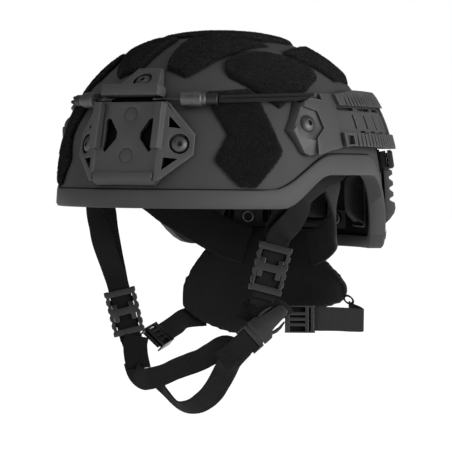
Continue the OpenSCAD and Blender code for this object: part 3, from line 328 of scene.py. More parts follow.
# Undyed cores of the cut webbing, which catch the light as pale hairs
FRAY = webbing("frayed_thread", "#9a9a9a")
# Polyester braid over rubber, in 1.1 mm ribs, and bonded nylon sewing thread, twisted
CORD_BRAID = webbing("cord_braid", "#1c1c1c", 1.1, 1.4)
THREAD = webbing("thread", "#2b2b2b", 0.6, 0.6)
# Knitted mesh over foam, its 0.9 mm holes drawn at 1.8, and a smooth brushed nape cloth
PAD_KNIT = knit("pad_knit", "#151515", 1.79, 2.6)
NAPE_CLOTH = knit("nape_cloth", "#1c1c1c", 0.77, 1.1, 0.12)
# Moulded hooks of the fastening discs, 0.7 mm apart: a fine rough face
HOOK_FACE = knit("hook_face", "#2a2a2a", 0.667, 1.3, 0.1)
# Knitted and brushed loop tape: the blackest and softest surface of all
LOOP_PILE = pile("loop_pile", "#131313")
# Vinyl piping, and near-black gasket sheets and a seam bead that are painted shade: plain dark
# lines
PIPING = moulded("piping", "#101010", 0.6, 0.714, 0.03, 1.5, 0.5)
GASKET_SHADE = moulded("gasket_painted_shade", "#0c0c0c", 0.95, 0.667, 0.05, 1.0, 0.1)
SEAM_SHADE = moulded("seam_painted_shade", "#1a1a1a", 0.9, 0.667, 0.03, 1.0, 0.1)


# The helmet's own curves, in millimetres: a is the angle from the front to the left

SHELL_LEN, SHELL_W, CROWN_H, SHELL_T = 279, 244, 137, 8.5
DOME_POW, PLAN_POW = 2.4, 2.07
BRIM, EAR_CUT, NAPE_DROP = 1, 25.5, 59.5
GLUE_GAP, PATCH_T, DISC_T = 0.5, 2.2, 2.2
PAD_OFF = SHELL_T + DISC_T


def mix(a, b, t):
    return a + (b - a) * t


def unit(v):
    v = np.asarray(v, float)
    return v / np.linalg.norm(v)


def rise(v, a, b):
    u = min(1, max(0, (v - a) / (b - a)))
    return u * u * (3 - 2 * u)


def shrink(z, h):
    return 1 if z <= 0 else max(0, 1 - (min(z, h) / h) ** DOME_POW) ** (1 / DOME_POW)


def signed_pow(v, e):
    return copysign(abs(v) ** e, v)


def on_shell(a, z, off=0):
    c = shrink(z, CROWN_H + off)
    t = radians(a)
    return np.array([(SHELL_W / 2 + off) * c * signed_pow(sin(t), 2 / PLAN_POW),
                     -(SHELL_LEN / 2 + off) * c * signed_pow(cos(t), 2 / PLAN_POW), z])


def on_dome(x, y, off=0):
    s = (abs(x) / (SHELL_W / 2 + off)) ** PLAN_POW + (abs(y) / (SHELL_LEN / 2 + off)) ** PLAN_POW
    h = (CROWN_H + off) * max(0, 1 - s ** (DOME_POW / PLAN_POW)) ** (1 / DOME_POW)
    return np.array([x, y, h])


def shell_normal(a, z):
    return unit(np.cross(on_shell(a + 1, z) - on_shell(a - 1, z),
                         on_shell(a, z + 1) - on_shell(a, z - 1)))


def rim_z(a):
    """The height of the rim, which rises over the ear and drops at the nape."""
    b = abs(a - 360 if a > 180 else a)
    return BRIM + EAR_CUT * rise(b, 55.5, 75) - NAPE_DROP * rise(b, 100, 132)


def curve(points, n):
    """A smooth line through the points, n steps for each of them."""
    p = [np.asarray(v, float) for v in points]
    m = len(p) - 1
    out = []
    for i in range(m):
        a, b, c, d = p[max(i - 1, 0)], p[i], p[i + 1], p[min(i + 2, m)]
        for k in range(n):
            t = k / n
            out.append(0.5 * (2 * b + (c - a) * t + (2 * a - 5 * b + 4 * c - d) * t * t
                              + (3 * b - a - 3 * c + d) * t ** 3))
    out.append(p[m])
    return out


def along(points, t):
    s = t * (len(points) - 1)
    i = min(int(s), len(points) - 2)
    return mix(np.asarray(points[i], float), np.asarray(points[i + 1], float), s - i)


# Making pieces

MERGED, LEVELLED = 3e-6, radians(0.7)


def new_mesh(name, points, faces, scale=MM):
    mesh = bpy.data.meshes.new(name)
    mesh.from_pydata([tuple(float(c) * scale for c in p) for p in points], [], faces)
    return mesh


def dress(mesh, material):
    mesh.materials.clear()
    mesh.materials.append(material)


def placed(name, mesh, material):
    dress(mesh, material)
    return in_scene(name, mesh)


def evaluated(piece):
    graph = bpy.context.evaluated_depsgraph_get()
    return bpy.data.meshes.new_from_object(piece.evaluated_get(graph))


def points_of(mesh):
    return np.array([v.co for v in mesh.vertices])


def plain(piece):
    """The piece with its modifiers made part of its mesh."""
    mesh = evaluated(piece)
    piece.modifiers.clear()
    piece.data = mesh
    return piece


def backed(piece, thick):
    """The skin with a wall behind it."""
    wall = piece.modifiers.new("wall", "SOLIDIFY")
    wall.thickness = thick * MM
    wall.offset = -1
    return plain(piece)


def facing_out(mesh):
    """Turns a skin's faces away from the helmet's middle."""
    if sum(f.normal.dot(f.center) for f in mesh.polygons) < 0:
        mesh.flip_normals()


def grid_faces(rows, n):
    """The faces between rows of n points."""
    return [(i * n + k, i * n + k + 1, (i + 1) * n + k + 1, (i + 1) * n + k)
            for i in range(rows - 1) for k in range(n - 1)]


def shade(mesh, angle=32):
    mesh.polygons.foreach_set("use_smooth", [True] * len(mesh.polygons))
    mesh.set_sharp_from_angle(angle=radians(angle))


def hand_over(piece, slot, *nodes, body="helmet"):
    """Gives a piece to its body and hides the nodes that it replaces. The slot is not used."""
    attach(piece, body)
    if nodes:
        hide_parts(*nodes)
    return piece


def for_edit(mesh, merge=False):
    """The mesh as a bmesh, its doubled points merged where it is loose triangles."""
    bm = bmesh.new()
    bm.from_mesh(mesh)
    if merge:
        bmesh.ops.remove_doubles(bm, verts=bm.verts, dist=MERGED)
    return bm


def write_back(bm, mesh):
    bm.to_mesh(mesh)
    bm.free()


def outward(mesh):
    """Turns the faces of a closed mesh outwards."""
    bm = for_edit(mesh)
    bmesh.ops.recalc_face_normals(bm, faces=bm.faces)
    write_back(bm, mesh)


def bevelled(bm, edges, edge, steps=2):
    bmesh.ops.bevel(bm, geom=edges, offset=edge * MM, offset_type="OFFSET", segments=steps,
                    profile=0.6, affect="EDGES", clamp_overlap=False)


BODY_OF = {n: b for b, ns in frame["record"]["behaviour"]["bodies"].items() for n in ns}
SLOT_OF = {s["node"]: s["material_slot"] for s in frame["record"]["subparts"]}


def eased(node, material, edge=0.3, angle=38, steps=2, smooth=32):
    """A copy of a moulded or turned node whose edges, sharper than angle, are eased."""
    mesh = frame["nodes"][node].data.copy()
    bm = for_edit(mesh, True)
    bmesh.ops.dissolve_limit(bm, angle_limit=LEVELLED, verts=bm.verts, edges=bm.edges)
    sharp = [e for e in bm.edges if len(e.link_faces) == 2
             and e.calc_face_angle(0) > radians(angle)]
    if edge:
        bevelled(bm, sharp, edge, steps)
    bmesh.ops.triangulate(bm, faces=[f for f in bm.faces if len(f.verts) > 4])
    write_back(bm, mesh)
    mesh.name = node + "_shape"
    piece = placed(node + "_shape", mesh, material)
    shade(mesh, smooth)
    return hand_over(piece, SLOT_OF[node], node, body=BODY_OF[node])


def circle(centre, right, up, radius, sides):
    return [centre + radius * (cos(t) * right + sin(t) * up)
            for t in np.linspace(0, 2 * pi, sides, endpoint=False)]


def tube_faces(rings, sides, first=0, closed=False):
    """The faces between rings of points, whose first point has the number first."""
    faces = []
    for i in range(rings if closed else rings - 1):
        here, there = first + i * sides, first + (i + 1) % rings * sides
        faces += [(here + k, here + (k + 1) % sides, there + (k + 1) % sides, there + k)
                  for k in range(sides)]
    return faces


def axes_of(ahead, facing):
    """The side and the outer direction of a line that runs ahead."""
    side = unit(np.cross(facing, ahead))
    return side, unit(np.cross(ahead, side))


def sections(line, facings):
    """Each point of a line, its side and outer directions, and how far the line has run."""
    run = 0.0
    for i, p in enumerate(line):
        if i:
            run += float(np.linalg.norm(p - line[i - 1]))
        ahead = unit(line[min(i + 1, len(line) - 1)] - line[max(i - 1, 0)])
        yield (p, *axes_of(ahead, facings[i]), run)


def woven(name, rows, uvs, sides, material):
    """A closed tube through rings of points, with its weave's coordinates in metres."""
    rings = len(rows) // sides
    faces = tube_faces(rings, sides)
    faces += [tuple(range(sides - 1, -1, -1)), tuple(range((rings - 1) * sides, len(rows)))]
    mesh = new_mesh(name, rows, faces)
    layer = mesh.uv_layers.new(name="UVMap")
    for loop in mesh.loops:
        layer.data[loop.index].uv = uvs[loop.vertex_index]
    outward(mesh)
    shade(mesh, 60)
    return placed(name, mesh, material)


# Webbing, on routes in millimetres. VIEW points from the helmet to the camera.

VIEW = np.array([sin(AZIMUTH), -cos(AZIMUTH), 0.0])
ACROSS = np.array([cos(AZIMUTH), sin(AZIMUTH), 0.0])
HIGH = np.array([0, 0, 1.0])
WEB_W, WEB_T, LAYER = 17.5, 1.4, 0.9
UPPER_HALF = [(-1, 0), (-0.985, 0.62), (-0.94, 0.95), (-0.8, 1.0), (-0.4, 1.0), (0, 1.0),
              (0.4, 1.0), (0.8, 1.0), (0.94, 0.95), (0.985, 0.62), (1, 0)]
WEB_SECTION = UPPER_HALF + [(x, -y) for x, y in reversed(UPPER_HALF[1:-1])]
EDGE_WAVE, FACE_WAVE = 0.18, 0.1
STRIPS = {}


def panel_dir(tilt):
    t = radians(tilt)
    return sin(t) * ACROSS + cos(t) * HIGH


def panel_side(tilt):
    t = radians(tilt)
    return cos(t) * ACROSS - sin(t) * HIGH


def strip(name, points, facings, material, width=WEB_W, thick=WEB_T, steps=6, crown=0.0,
          seed=1):
    """A woven strip along a smooth line, its face turned as the facings say."""
    line, face = curve(points, steps), curve(facings, steps)
    m = len(WEB_SECTION)
    rows, uvs = [], []
    for p, side, out, run in sections(line, face):
        wave = EDGE_WAVE * noise.noise(Vector((run * 0.11, seed * 7.3, 0)))
        for k, (x, y) in enumerate(WEB_SECTION):
            edge = width / 2 + wave * (1 if x > 0 else 0.7)
            lift = FACE_WAVE * noise.noise(Vector((run * 0.16, x * 1.3, seed * 3.1)))
            rows.append(p + side * x * edge + out * (y * thick / 2 + lift - crown * x * x))
            uvs.append((min(k, m - k) / (m // 2) * width * MM, run * MM))
    STRIPS[name] = (line, face, width, thick)
    return woven(name, rows, uvs, m, material)


def harness(name, node, seed, points, facings, material=STRAP_WEAVE, slot="webbing", **sizes):
    """A strip that stays with the helmet and shows in place of its node."""
    piece = strip(name, points, facings, material, seed=seed, **sizes)
    hand_over(piece, slot, *([node] if node else []))


RAIL_SCREWS = [(65.5, 63), (114, 63)]
TAB_TURN = [0, -60]
NUT_T, TAB_T, TAB_GAP = 2, 1.6, 0.3
WEB_OFF = SHELL_T + NUT_T + TAB_T + TAB_GAP + WEB_T / 2
ADJ_L = (np.array([85, -70, -44]), 14)
ADJ_R = (np.array([-85, -13, -86]), -14)
STRAIGHT = 23.5


def flip(p):
    return np.array([-p[0], p[1], p[2]])


def on_tab(i):
    """The first points of a leg, from behind a rail screw along its tab."""
    a, z = RAIL_SCREWS[i]
    n = shell_normal(a, z)
    e = unit([-n[1], n[0], 0])
    t = radians(TAB_TURN[i])
    way = cos(t) * np.cross(e, n) + sin(t) * e
    return [on_shell(a, z) - n * WEB_OFF + d * way for d in (7, 15, 24)]


def in_adjuster(adjuster, s, layer, side=0.0):
    """A point s along the webbing and side across it, from the middle of an adjuster."""
    middle, tilt = adjuster
    return middle + panel_dir(tilt) * s + panel_side(tilt) * side + VIEW * layer * LAYER


def in_run(adjuster, layer):
    """The straight run of a leg through its adjuster."""
    return [in_adjuster(adjuster, k * STRAIGHT, layer) for k in (1, 0.5, 0, -0.5, -1)]


BUCKLE, BUCKLE_TILT = np.array([76.3, -75.4, -93]), 48
BAR_Y, BAR_R, BAR_GAP = -9.6, 1.3, 0.45
WRAP = BAR_R + BAR_GAP + WEB_T / 2
NAPE_T, NAPE_R_IN = 9.0, 88
NAPE_AXIS = np.array([7, 8])


def buckle_pt(x, y, z):
    """A point in the chin buckle's own axes."""
    return BUCKLE + panel_side(BUCKLE_TILT) * x + panel_dir(BUCKLE_TILT) * y + VIEW * z


def on_screen(across, high, near):
    """A point as the photograph shows it: across and above the origin, and nearer to the eye."""
    return ACROSS * across + HIGH * high + VIEW * near


def nape_face(a):
    t = radians(a)
    return np.array([sin(t), cos(t), 0])


def nape_pt(a, z, off):
    """A point off outside the middle of the nape pad, a degrees round its axis."""
    return np.array([*NAPE_AXIS, z]) + (NAPE_R_IN + off) * nape_face(a)


FRONT_TAB_OUT = shell_normal(*RAIL_SCREWS[0])
REAR_TAB_OUT = shell_normal(*RAIL_SCREWS[1])
harness(
    "front_leg_left", "strap_front_l", 2,
    on_tab(0) + [[92.1, -55.6, 20], [88.6, -53.9, 4], [86.1, -56.8, -8],
                 in_adjuster(ADJ_L, STRAIGHT + 7, -1, -2.4) - VIEW * 2.8]
    + in_run(ADJ_L, -1)
    + [in_adjuster(ADJ_L, -STRAIGHT - 7.5, -1) - VIEW * 3.8,
       [68.3, -69, -76], [62.3, -68, -84]],
    [FRONT_TAB_OUT] * 3 + [[0.85, -0.5, 0], [0.75, -0.65, 0], [0.65, -0.75, 0]] + [VIEW] * 9)
harness(
    "rear_leg_left", "strap_rear_l", 3,
    on_tab(1) + [[99, 14, 31], [99.5, -10, 24], [98.5, -36.5, 13], [97.6, -46.7, 1.4],
                 [96, -57, -9], in_adjuster(ADJ_L, STRAIGHT + 6, 1, 2.2) + VIEW * 1.2]
    + in_run(ADJ_L, 1),
    [REAR_TAB_OUT] * 3 + [[1, 0, 0]] * 3 + [[0.9, -0.43, 0], [0.66, -0.75, 0]] + [VIEW] * 6)
harness(
    "front_leg_right", "strap_front_r", 4,
    [flip(p) for p in on_tab(0)]
    + [[-98, -47, 21], [-98.4, -38.2, -3], [-96, -34.5, -16], [-93.7, -30.2, -32],
       in_adjuster(ADJ_R, STRAIGHT + 9, 1, -0.8)] + in_run(ADJ_R, 1),
    [-flip(FRONT_TAB_OUT)] * 3 + [[0.95, 0.3, 0], [0.98, -0.15, 0], [0.85, -0.5, 0]] + [VIEW] * 7)
harness(
    "rear_leg_right", "strap_rear_r", 5,
    [flip(p) for p in on_tab(1)]
    + [[-102, 12, 25], [-101.4, -13.2, 6], [-99.5, -17.6, -12], [-96.8, -15.8, -34],
       in_adjuster(ADJ_R, STRAIGHT + 9, -1, 0.4) - VIEW * 1.6]
    + in_run(ADJ_R, -1),
    [-flip(REAR_TAB_OUT)] * 3 + [[1, -0.05, 0], [0.95, -0.3, 0], [0.8, -0.6, 0], [0.7, -0.7, 0]]
    + [VIEW] * 6)
harness(
    "chin_tab", "chin_strap_end", 6,
    [in_adjuster(ADJ_R, -STRAIGHT + 3, 0, 0.5),
     in_adjuster(ADJ_R, -STRAIGHT - 1.9, 0, 0.5),
     [-75.5, -10.2, -117], [-71.0, -13.6, -125.4], [-69.3, -15.6, -128.4]],
    [VIEW, VIEW, [0.3, -0.95, 0], [0.1, -1, 0], [-0.05, -1, 0]])
harness(
    "chin_fold", None, 16,
    [on_screen(-69, -105.5, -29), on_screen(-70, -113, -25),
     on_screen(-69, -122, -20.5), on_screen(-66.6, -130.6, -14)],
    [VIEW, VIEW + 0.3 * HIGH, VIEW + 0.5 * HIGH, VIEW + 0.6 * HIGH], width=19.5)

# The chin straps
TAIL = panel_dir(BUCKLE_TILT)
chin_upper = strip(
    "chin_strap_wrap",
    [on_screen(-72.6, -124.5, -25), on_screen(-70, -134, -17), [-55.5, -31, -137.6],
     [-43.3, -38.6, -136.3], [-25.8, -47, -132], [-9.1, -54.8, -126], [7, -61.3, -120.8],
     [20.7, -66, -116.4], [36.2, -71.5, -109.5], [48.6, -75, -104.2], buckle_pt(-1.5, -20, -4),
     buckle_pt(0, BAR_Y - 4, -WRAP - 0.4), buckle_pt(0, BAR_Y, -WRAP),
     buckle_pt(0, BAR_Y + WRAP * 1.7, -WRAP * 0.8), buckle_pt(0, BAR_Y + WRAP * 2.2, 0),
     buckle_pt(0, BAR_Y + WRAP * 1.7, WRAP * 0.8), buckle_pt(0, BAR_Y, WRAP),
     buckle_pt(0, BAR_Y - 5, WRAP + 0.5), buckle_pt(-0.6, -24, 3), buckle_pt(-1.6, -34, 2.4)],
    [[0, -1, 0], [-0.25, -0.95, 0], [-0.45, -0.85, 0], [-0.5, -0.85, 0], [-0.4, -0.9, 0.1],
     [-0.3, -0.95, 0.1], [-0.2, -1, 0.1], [-0.1, -1, 0.1], [0.2, -0.95, 0]] + [VIEW] * 4
    + [VIEW - TAIL, -TAIL, -VIEW - TAIL] + [-VIEW] * 4, STRAP_WEAVE, seed=7)
chin_lower = strip(
    "chin_strap_cup",
    [[-41.4, -33.2, -136.5], [-31.8, -37.4, -142.8], [-21.4, -43.2, -149],
     [-11, -47.6, -154], [-1.4, -51.4, -155.7], [10.2, -55.4, -153.4], [20.9, -59.9, -148.3],
     [31.7, -65.5, -141.2], [41.8, -71.6, -131.6], [50.6, -77, -121.8], buckle_pt(2, -27, 0),
     buckle_pt(0.6, BAR_Y - 4.5, 0)],
    [[-0.4, -0.8, -0.25], [-0.3, -0.75, -0.45], [-0.15, -0.7, -0.6], [-0.05, -0.65, -0.7],
     [0.05, -0.6, -0.75], [0.2, -0.65, -0.65], [0.3, -0.75, -0.5], [0.4, -0.85, -0.3],
     [0.5, -0.85, -0.1]] + [VIEW] * 3, STRAP_WEAVE, seed=8)
WRAP_FAR, CUP_FAR = (-0.045, -0.038, -0.136), (-0.030, -0.038, -0.144)
for piece, node, far in ((chin_upper, "chin_strap_upper", WRAP_FAR),
                         (chin_lower, "chin_strap_lower", CUP_FAR)):
    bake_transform(piece)
    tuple(far)
    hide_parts(node)

NAPE_L, NAPE_R = np.array([94.6, -41, -83]), np.array([-71, 14.9, -107.2])
R_DIR = unit([-0.19, 0.97, 0.15])
R_FACE = unit(np.cross([0.657, 0.401, -0.64], R_DIR))
YOKE_IN = -NAPE_T / 2 - 2.2
YOKE = {"material": NAPE_CLOTH, "slot": "pad_fabric", "thick": 2.4, "crown": -0.8}
harness(
    "nape_strap_left", "nape_strap_l", 9,
    [NAPE_L - ACROSS * 8.5, NAPE_L + ACROSS * 5, NAPE_L + ACROSS * 12.5, [106, -16, -84],
     [105.6, 2, -85.2], [105, 22, -86.8], [104.2, 38, -88], [102.8, 46.2, -88.3],
     [98.5, 49.6, -87.8], [93.5, 53, -86.6], nape_pt(57, -85.2, NAPE_T / 2 + 1.3),
     nape_pt(49, -84.4, NAPE_T / 2 + 1.4)],
    [VIEW] * 3 + [[0.85, -0.5, 0], [1, -0.1, 0], [1, 0.05, 0], [1, 0.15, 0], [0.75, 0.65, 0],
                  [0.15, 1, 0], [0.4, 0.9, 0], nape_face(57), nape_face(50)], width=18.5)
harness(
    "nape_strap_right", "nape_strap_r", 10,
    [NAPE_R - R_DIR * 14.4, NAPE_R - R_DIR * 6, NAPE_R + R_DIR * 7, NAPE_R + R_DIR * 15,
     [-72.5, 45, -99.5], nape_pt(-57, -94.5, NAPE_T / 2 + 1.1),
     nape_pt(-46, -93, NAPE_T / 2 + 1.1)],
    [-R_FACE] * 4 + [[-0.8, 0.2, -0.4], nape_face(-57), nape_face(-46)], width=17)
harness(
    "nape_yoke_left", "nape_yoke_l", 11,
    [[94, -2, 36], [94, 8, 20], [91, 20, 5], [81, 36, -9], nape_pt(47, -19, YOKE_IN),
     nape_pt(30, -29, YOKE_IN), nape_pt(18, -34, YOKE_IN)],
    [[1, 0, 0], [1, 0.1, 0], [0.95, 0.3, 0], [0.8, 0.6, 0], nape_face(47), nape_face(30),
     nape_face(18)], width=30, **YOKE)
harness(
    "nape_yoke_right", "nape_yoke_r", 12,
    [[-92, -4, 42], [-93, 6, 31], [-92.5, 19, 19], [-85, 34, 8], [-74, 45, -3],
     nape_pt(-50, -17, YOKE_IN), nape_pt(-38, -26, YOKE_IN), nape_pt(-24, -33, YOKE_IN)],
    [[-1, 0, 0], [-1, 0.1, 0], [-0.95, 0.3, 0], [-0.85, 0.5, 0], [-0.75, 0.65, 0],
     nape_face(-50), nape_face(-38), nape_face(-24)], width=32, **YOKE)
harness(
    "keeper_strap", "link_strap", 13,
    [in_adjuster(ADJ_L, -STRAIGHT - 0.5, -1, 5) - VIEW * 3.4, [86, -63, -70.5],
     [89.6, -59, -73.3], [90.6, -54, -76.5], [89.8, -50.6, -79]], [VIEW] * 5, width=8)


# Rows of repeated pieces, made with geometry nodes


def tree_of(name, **inputs):
    """A new tree with its named inputs, and a short way to add nodes to it."""
    tree = bpy.data.node_groups.new(name, "GeometryNodeTree")
    for way in ("INPUT", "OUTPUT"):
        tree.interface.new_socket("Geometry", in_out=way, socket_type="NodeSocketGeometry")
    for label, value in inputs.items():
        kind = "NodeSocketInt" if isinstance(value, int) else "NodeSocketFloat"
        socket = tree.interface.new_socket(label, in_out="INPUT", socket_type=kind)
        socket.default_value = value

    def add(kind, links=None, at=None, **values):
        return add_node(tree, kind, links, at, **values)

    return tree, add, add("NodeGroupInput").outputs


def ended(tree, add, instances, material):
    """The tree, which ends with its instances made real and in one material."""
    real = add("GeometryNodeRealizeInstances", {0: instances.outputs[0]})
    finish = add("GeometryNodeSetMaterial", {0: real.outputs[0]}, Material=material)
    add("NodeGroupOutput", {0: finish.outputs[0]})
    return tree


def run_tree(piece, tree, values):
    modifier = piece.modifiers.new(tree.name, "NODES")
    modifier.node_group = tree
    for item in tree.interface.items_tree:
        if item.in_out == "INPUT" and item.name in values:
            modifier[item.identifier] = values[item.name]
    return plain(piece)


def stitch_tree(material):
    """Stitches along the edges of a mesh, pitch apart."""
    tree, add, given = tree_of("stitches", Pitch=0.0026, Length=0.0018, Thread=0.0003)
    line = add("GeometryNodeMeshToCurve", {0: given["Geometry"]})
    spaced = add("GeometryNodeResampleCurve",
                 {"Curve": line.outputs[0], "Length": given["Pitch"]}, mode="LENGTH")
    aim = add("FunctionNodeAlignEulerToVector",
              {"Vector": add("GeometryNodeInputTangent").outputs[0]}, axis="Z")
    stitch = add("GeometryNodeMeshCylinder",
                 {"Radius": given["Thread"], "Depth": given["Length"]}, Vertices=5)
    rows = add("GeometryNodeInstanceOnPoints",
               {"Points": spaced.outputs[0], "Instance": stitch.outputs["Mesh"],
                "Rotation": aim.outputs[0]})
    return ended(tree, add, rows, material)


def pile_tree(material):
    """Small bent fibres that stand on a face, for the loop patches."""
    lean, least, most = 0.7, 0.55, 1.25
    tree, add, given = tree_of("pile", Density=1e6, Height=0.0011, Fibre=0.00012, Seed=1)
    spots = add("GeometryNodeDistributePointsOnFaces",
                {"Mesh": given["Geometry"], "Density": given["Density"],
                 "Seed": given["Seed"]})
    loop = add("GeometryNodeCurveArc", {"Radius": given["Height"]}, mode="RADIUS",
               Resolution=4, Start_Angle=0.0, Sweep_Angle=pi)
    ring = add("GeometryNodeCurvePrimitiveCircle", {"Radius": given["Fibre"]}, Resolution=3)
    tube = add("GeometryNodeCurveToMesh",
               {"Curve": loop.outputs["Curve"], "Profile Curve": ring.outputs["Curve"]},
               Fill_Caps=True)
    stand = add("GeometryNodeTransform", {0: tube.outputs[0]}, Rotation=(pi / 2, 0, 0))
    turn = add("FunctionNodeRandomValue", at={0: (-lean, -lean, -3.1), 1: (lean, lean, 3.1)},
               data_type="FLOAT_VECTOR")
    spin = add("FunctionNodeRotateEuler",
               {"Rotation": spots.outputs["Rotation"], "Rotate By": turn.outputs[0]},
               space="LOCAL")
    size = add("FunctionNodeRandomValue", at={2: least, 3: most})
    tufts = add("GeometryNodeInstanceOnPoints",
                {"Points": spots.outputs["Points"], "Instance": stand.outputs[0],
                 "Rotation": spin.outputs[0], "Scale": size.outputs[1]})
    return ended(tree, add, tufts, material)


# Loop patches: a soft-edged skin with its pile

PILE = pile_tree(LOOP_PILE)
EDGE_WOB, SKIN_WOB, EDGE_SHARE, BACKING = 0.012, 0.25, 0.07, 0.6


def loop_patch(node, left, right, from_above, mirrored, seed, rows=44, cols=26,
               density=1.15e6):
    """A patch between two lines, which run in x and y from above, or else in angle and z."""
    def place(u, v, off):
        q = mix(along(left, v), along(right, v), u)
        p = on_dome(q[0], q[1], off) if from_above else on_shell(q[0], q[1], off)
        return flip(p) if mirrored else p

    points = []
    for i in range(rows + 1):
        for j in range(cols + 1):
            u, v = j / cols, i / rows
            near = min(u, 1 - u, min(v, 1 - v) * 1.4)
            wob = noise.noise(Vector((u * 9 + seed, v * 12, seed * 2.0)))
            if near == 0:
                u += EDGE_WOB * wob * (0 < u < 1)
                points.append(place(min(1, max(0, u)), v, GLUE_GAP + 0.1))
                continue
            lift = PATCH_T * (0.35 + 0.65 * min(1, near / EDGE_SHARE) ** 0.5)
            points.append(place(u, v, GLUE_GAP + lift + SKIN_WOB * wob))
    way = -1 if mirrored != from_above else 1
    mesh = new_mesh(node + "_skin", points, [f[::way] for f in grid_faces(rows + 1, cols + 1)])
    skin = placed(node + "_skin", mesh, LOOP_PILE)
    facing_out(mesh)
    shade(mesh, 80)
    fibres = placed(node + "_pile", mesh.copy(), LOOP_PILE)
    run_tree(fibres, PILE, {"Density": density, "Height": 0.0008, "Fibre": 0.00013, "Seed": seed})
    hand_over(skin, "loop", node)
    hand_over(fibres, "loop")
    backed(skin, BACKING)


SIDE = ([[41, 17], [32, 36], [32, 39], [36.5, 56], [31, 75], [28, 88]],
        [[46, 17], [54.5, 38], [56, 44], [53.5, 58], [49.5, 79], [45.5, 90.5]])
UPPER = ([[55, -86], [50, -80], [52, -65], [60, -50], [72, -34], [90, -12]],
         [[60, -87], [82, -78], [92, -70], [95, -54], [97, -40], [94, -17]])
FRONT = ([[12, -102], [9, -94], [7, -80], [6, -64], [6, -58]],
         [[30, -104], [37, -96], [43, -82], [51, -62], [58, -28]])
REAR = ([[70, -26], [66, 0], [58, 24], [44, 50], [28, 72]],
        [[78, -20], [95, 10], [90, 40], [70, 74], [44, 96]])
CROWN = ([[-20, -48], [-50, -22], [-54, 10], [-36, 48], [-14, 66]],
         [[20, -48], [50, -22], [54, 10], [36, 48], [14, 66]])
PATCHES = (("side", SIDE, False), ("upper", UPPER, True), ("front", FRONT, True),
           ("rear", REAR, True))
for number, (label, outline, above) in enumerate(PATCHES):
    for side in ("l", "r"):
        loop_patch(f"loop_patch_{label}_{side}", *outline, above, side == "r",
                   11 + number * 2 + (side == "r"))
loop_patch("loop_patch_crown", *CROWN, True, False, 31, 40, 40, 1.0e6)


# Padded pieces, swollen by a cloth simulation

CLOTH_FRAMES = 20


def pillow(node, material, voxel=4.5, pressure=4.0, cap=3.0, shrunk=0.8):
    """A fabric-covered pad from its node, in millimetres: remeshed in voxels, started shrunk
    by a little and blown up, but no farther than cap from the node."""
    mesh = frame["nodes"][node].data.copy()
    write_back(for_edit(mesh, True), mesh)
    piece = placed(node + "_cover", mesh, material)
    remesh = piece.modifiers.new("voxels", "REMESH")
    remesh.mode = "VOXEL"
    remesh.voxel_size = voxel * MM
    plain(piece)
    rest = points_of(piece.data)
    normals = np.array([v.normal for v in piece.data.vertices])
    piece.data.vertices.foreach_set("co", (rest - normals * shrunk * MM).ravel())
    cloth = piece.modifiers.new("cloth", "CLOTH")
    rules = cloth.settings
    rules.use_pressure = True
    rules.uniform_pressure_force = pressure
    rules.effector_weights.gravity = 0
    rules.quality = 4
    cloth.collision_settings.use_collision = False
    cloth.point_cache.frame_end = CLOTH_FRAMES
    for number in range(CLOTH_FRAMES):
        scene.frame_set(number + 1)
    swollen = evaluated(piece)
    piece.modifiers.clear()
    scene.frame_set(1)
    move = points_of(swollen) - rest
    far = np.linalg.norm(move, axis=1, keepdims=True)
    move *= np.minimum(1, cap * MM / np.maximum(far, 1e-9))
    piece.data.vertices.foreach_set("co", (rest + move).ravel())
    bpy.data.meshes.remove(swollen)
    piece.data.update()
    ease = piece.modifiers.new("ease", "SMOOTH")
    ease.iterations = 3
    ease.factor = 0.5
    fine = piece.modifiers.new("fine", "SUBSURF")
    fine.levels = fine.render_levels = 1
    plain(piece)
    dress(piece.data, material)
    shade(piece.data, 90)
    return piece


def mirrored_copy(piece, name):
    mesh = piece.data.copy()
    mesh.transform(Matrix.Scale(-1, 4, (1, 0, 0)))
    mesh.flip_normals()
    return placed(name, mesh, piece.data.materials[0])


for node in ("pad_crown", "pad_front", "pad_rear"):
    cover = pillow(node, PAD_KNIT)
    hand_over(cover, "pad_fabric", node)
for label in ("temple", "rear_side"):
    left = pillow(f"pad_{label}_l", PAD_KNIT)
    right = mirrored_copy(left, f"pad_{label}_r_cover")
    for side, cover in (("l", left), ("r", right)):
        hand_over(cover, "pad_fabric", f"pad_{label}_{side}")
nape = pillow("nape_pad", NAPE_CLOTH, 3.0, 2.5, 1.2, 0.4)
hand_over(nape, "pad_fabric", "nape_pad")


def piping_line(low, high, z0, z1, thick, n=96):
    """Points round a pad's edge."""
    out = []
    for t in np.linspace(0, 2 * pi, n, endpoint=False):
        a = (low + high) / 2 + (high - low) / 2 * signed_pow(cos(t), 0.3)
        z = (z0 + z1) / 2 + (z1 - z0) / 2 * signed_pow(sin(t), 0.3)
        out.append(on_shell(a, z, -PAD_OFF - thick * 0.16))
    return out


# Each piped pad: its angles, its heights and its thickness
PAD_EDGES = [(-26, 26, 11, 39, 14), (165, 195, -13, 32, 14)]
for s in (1, -1):
    PAD_EDGES += [(s * 76, s * 106, 61, 91, 14), (s * 128, s * 148, -15, 31, 15)]


# Lanyard cords: two strands from each rail to its ferrule


def round_strand(name, points, radius, material, sides=14):
    """A round cord through the points, with its smooth line and its length."""
    line = curve(points, 4)
    rows, uvs = [], []
    for p, side, out, run in sections(line, [HIGH] * len(line)):
        rows += circle(p, side, out, radius, sides)
        uvs += [(k / sides * 2 * pi * radius * MM, run * MM) for k in range(sides)]
    return woven(name, rows, uvs, sides, material), line, run


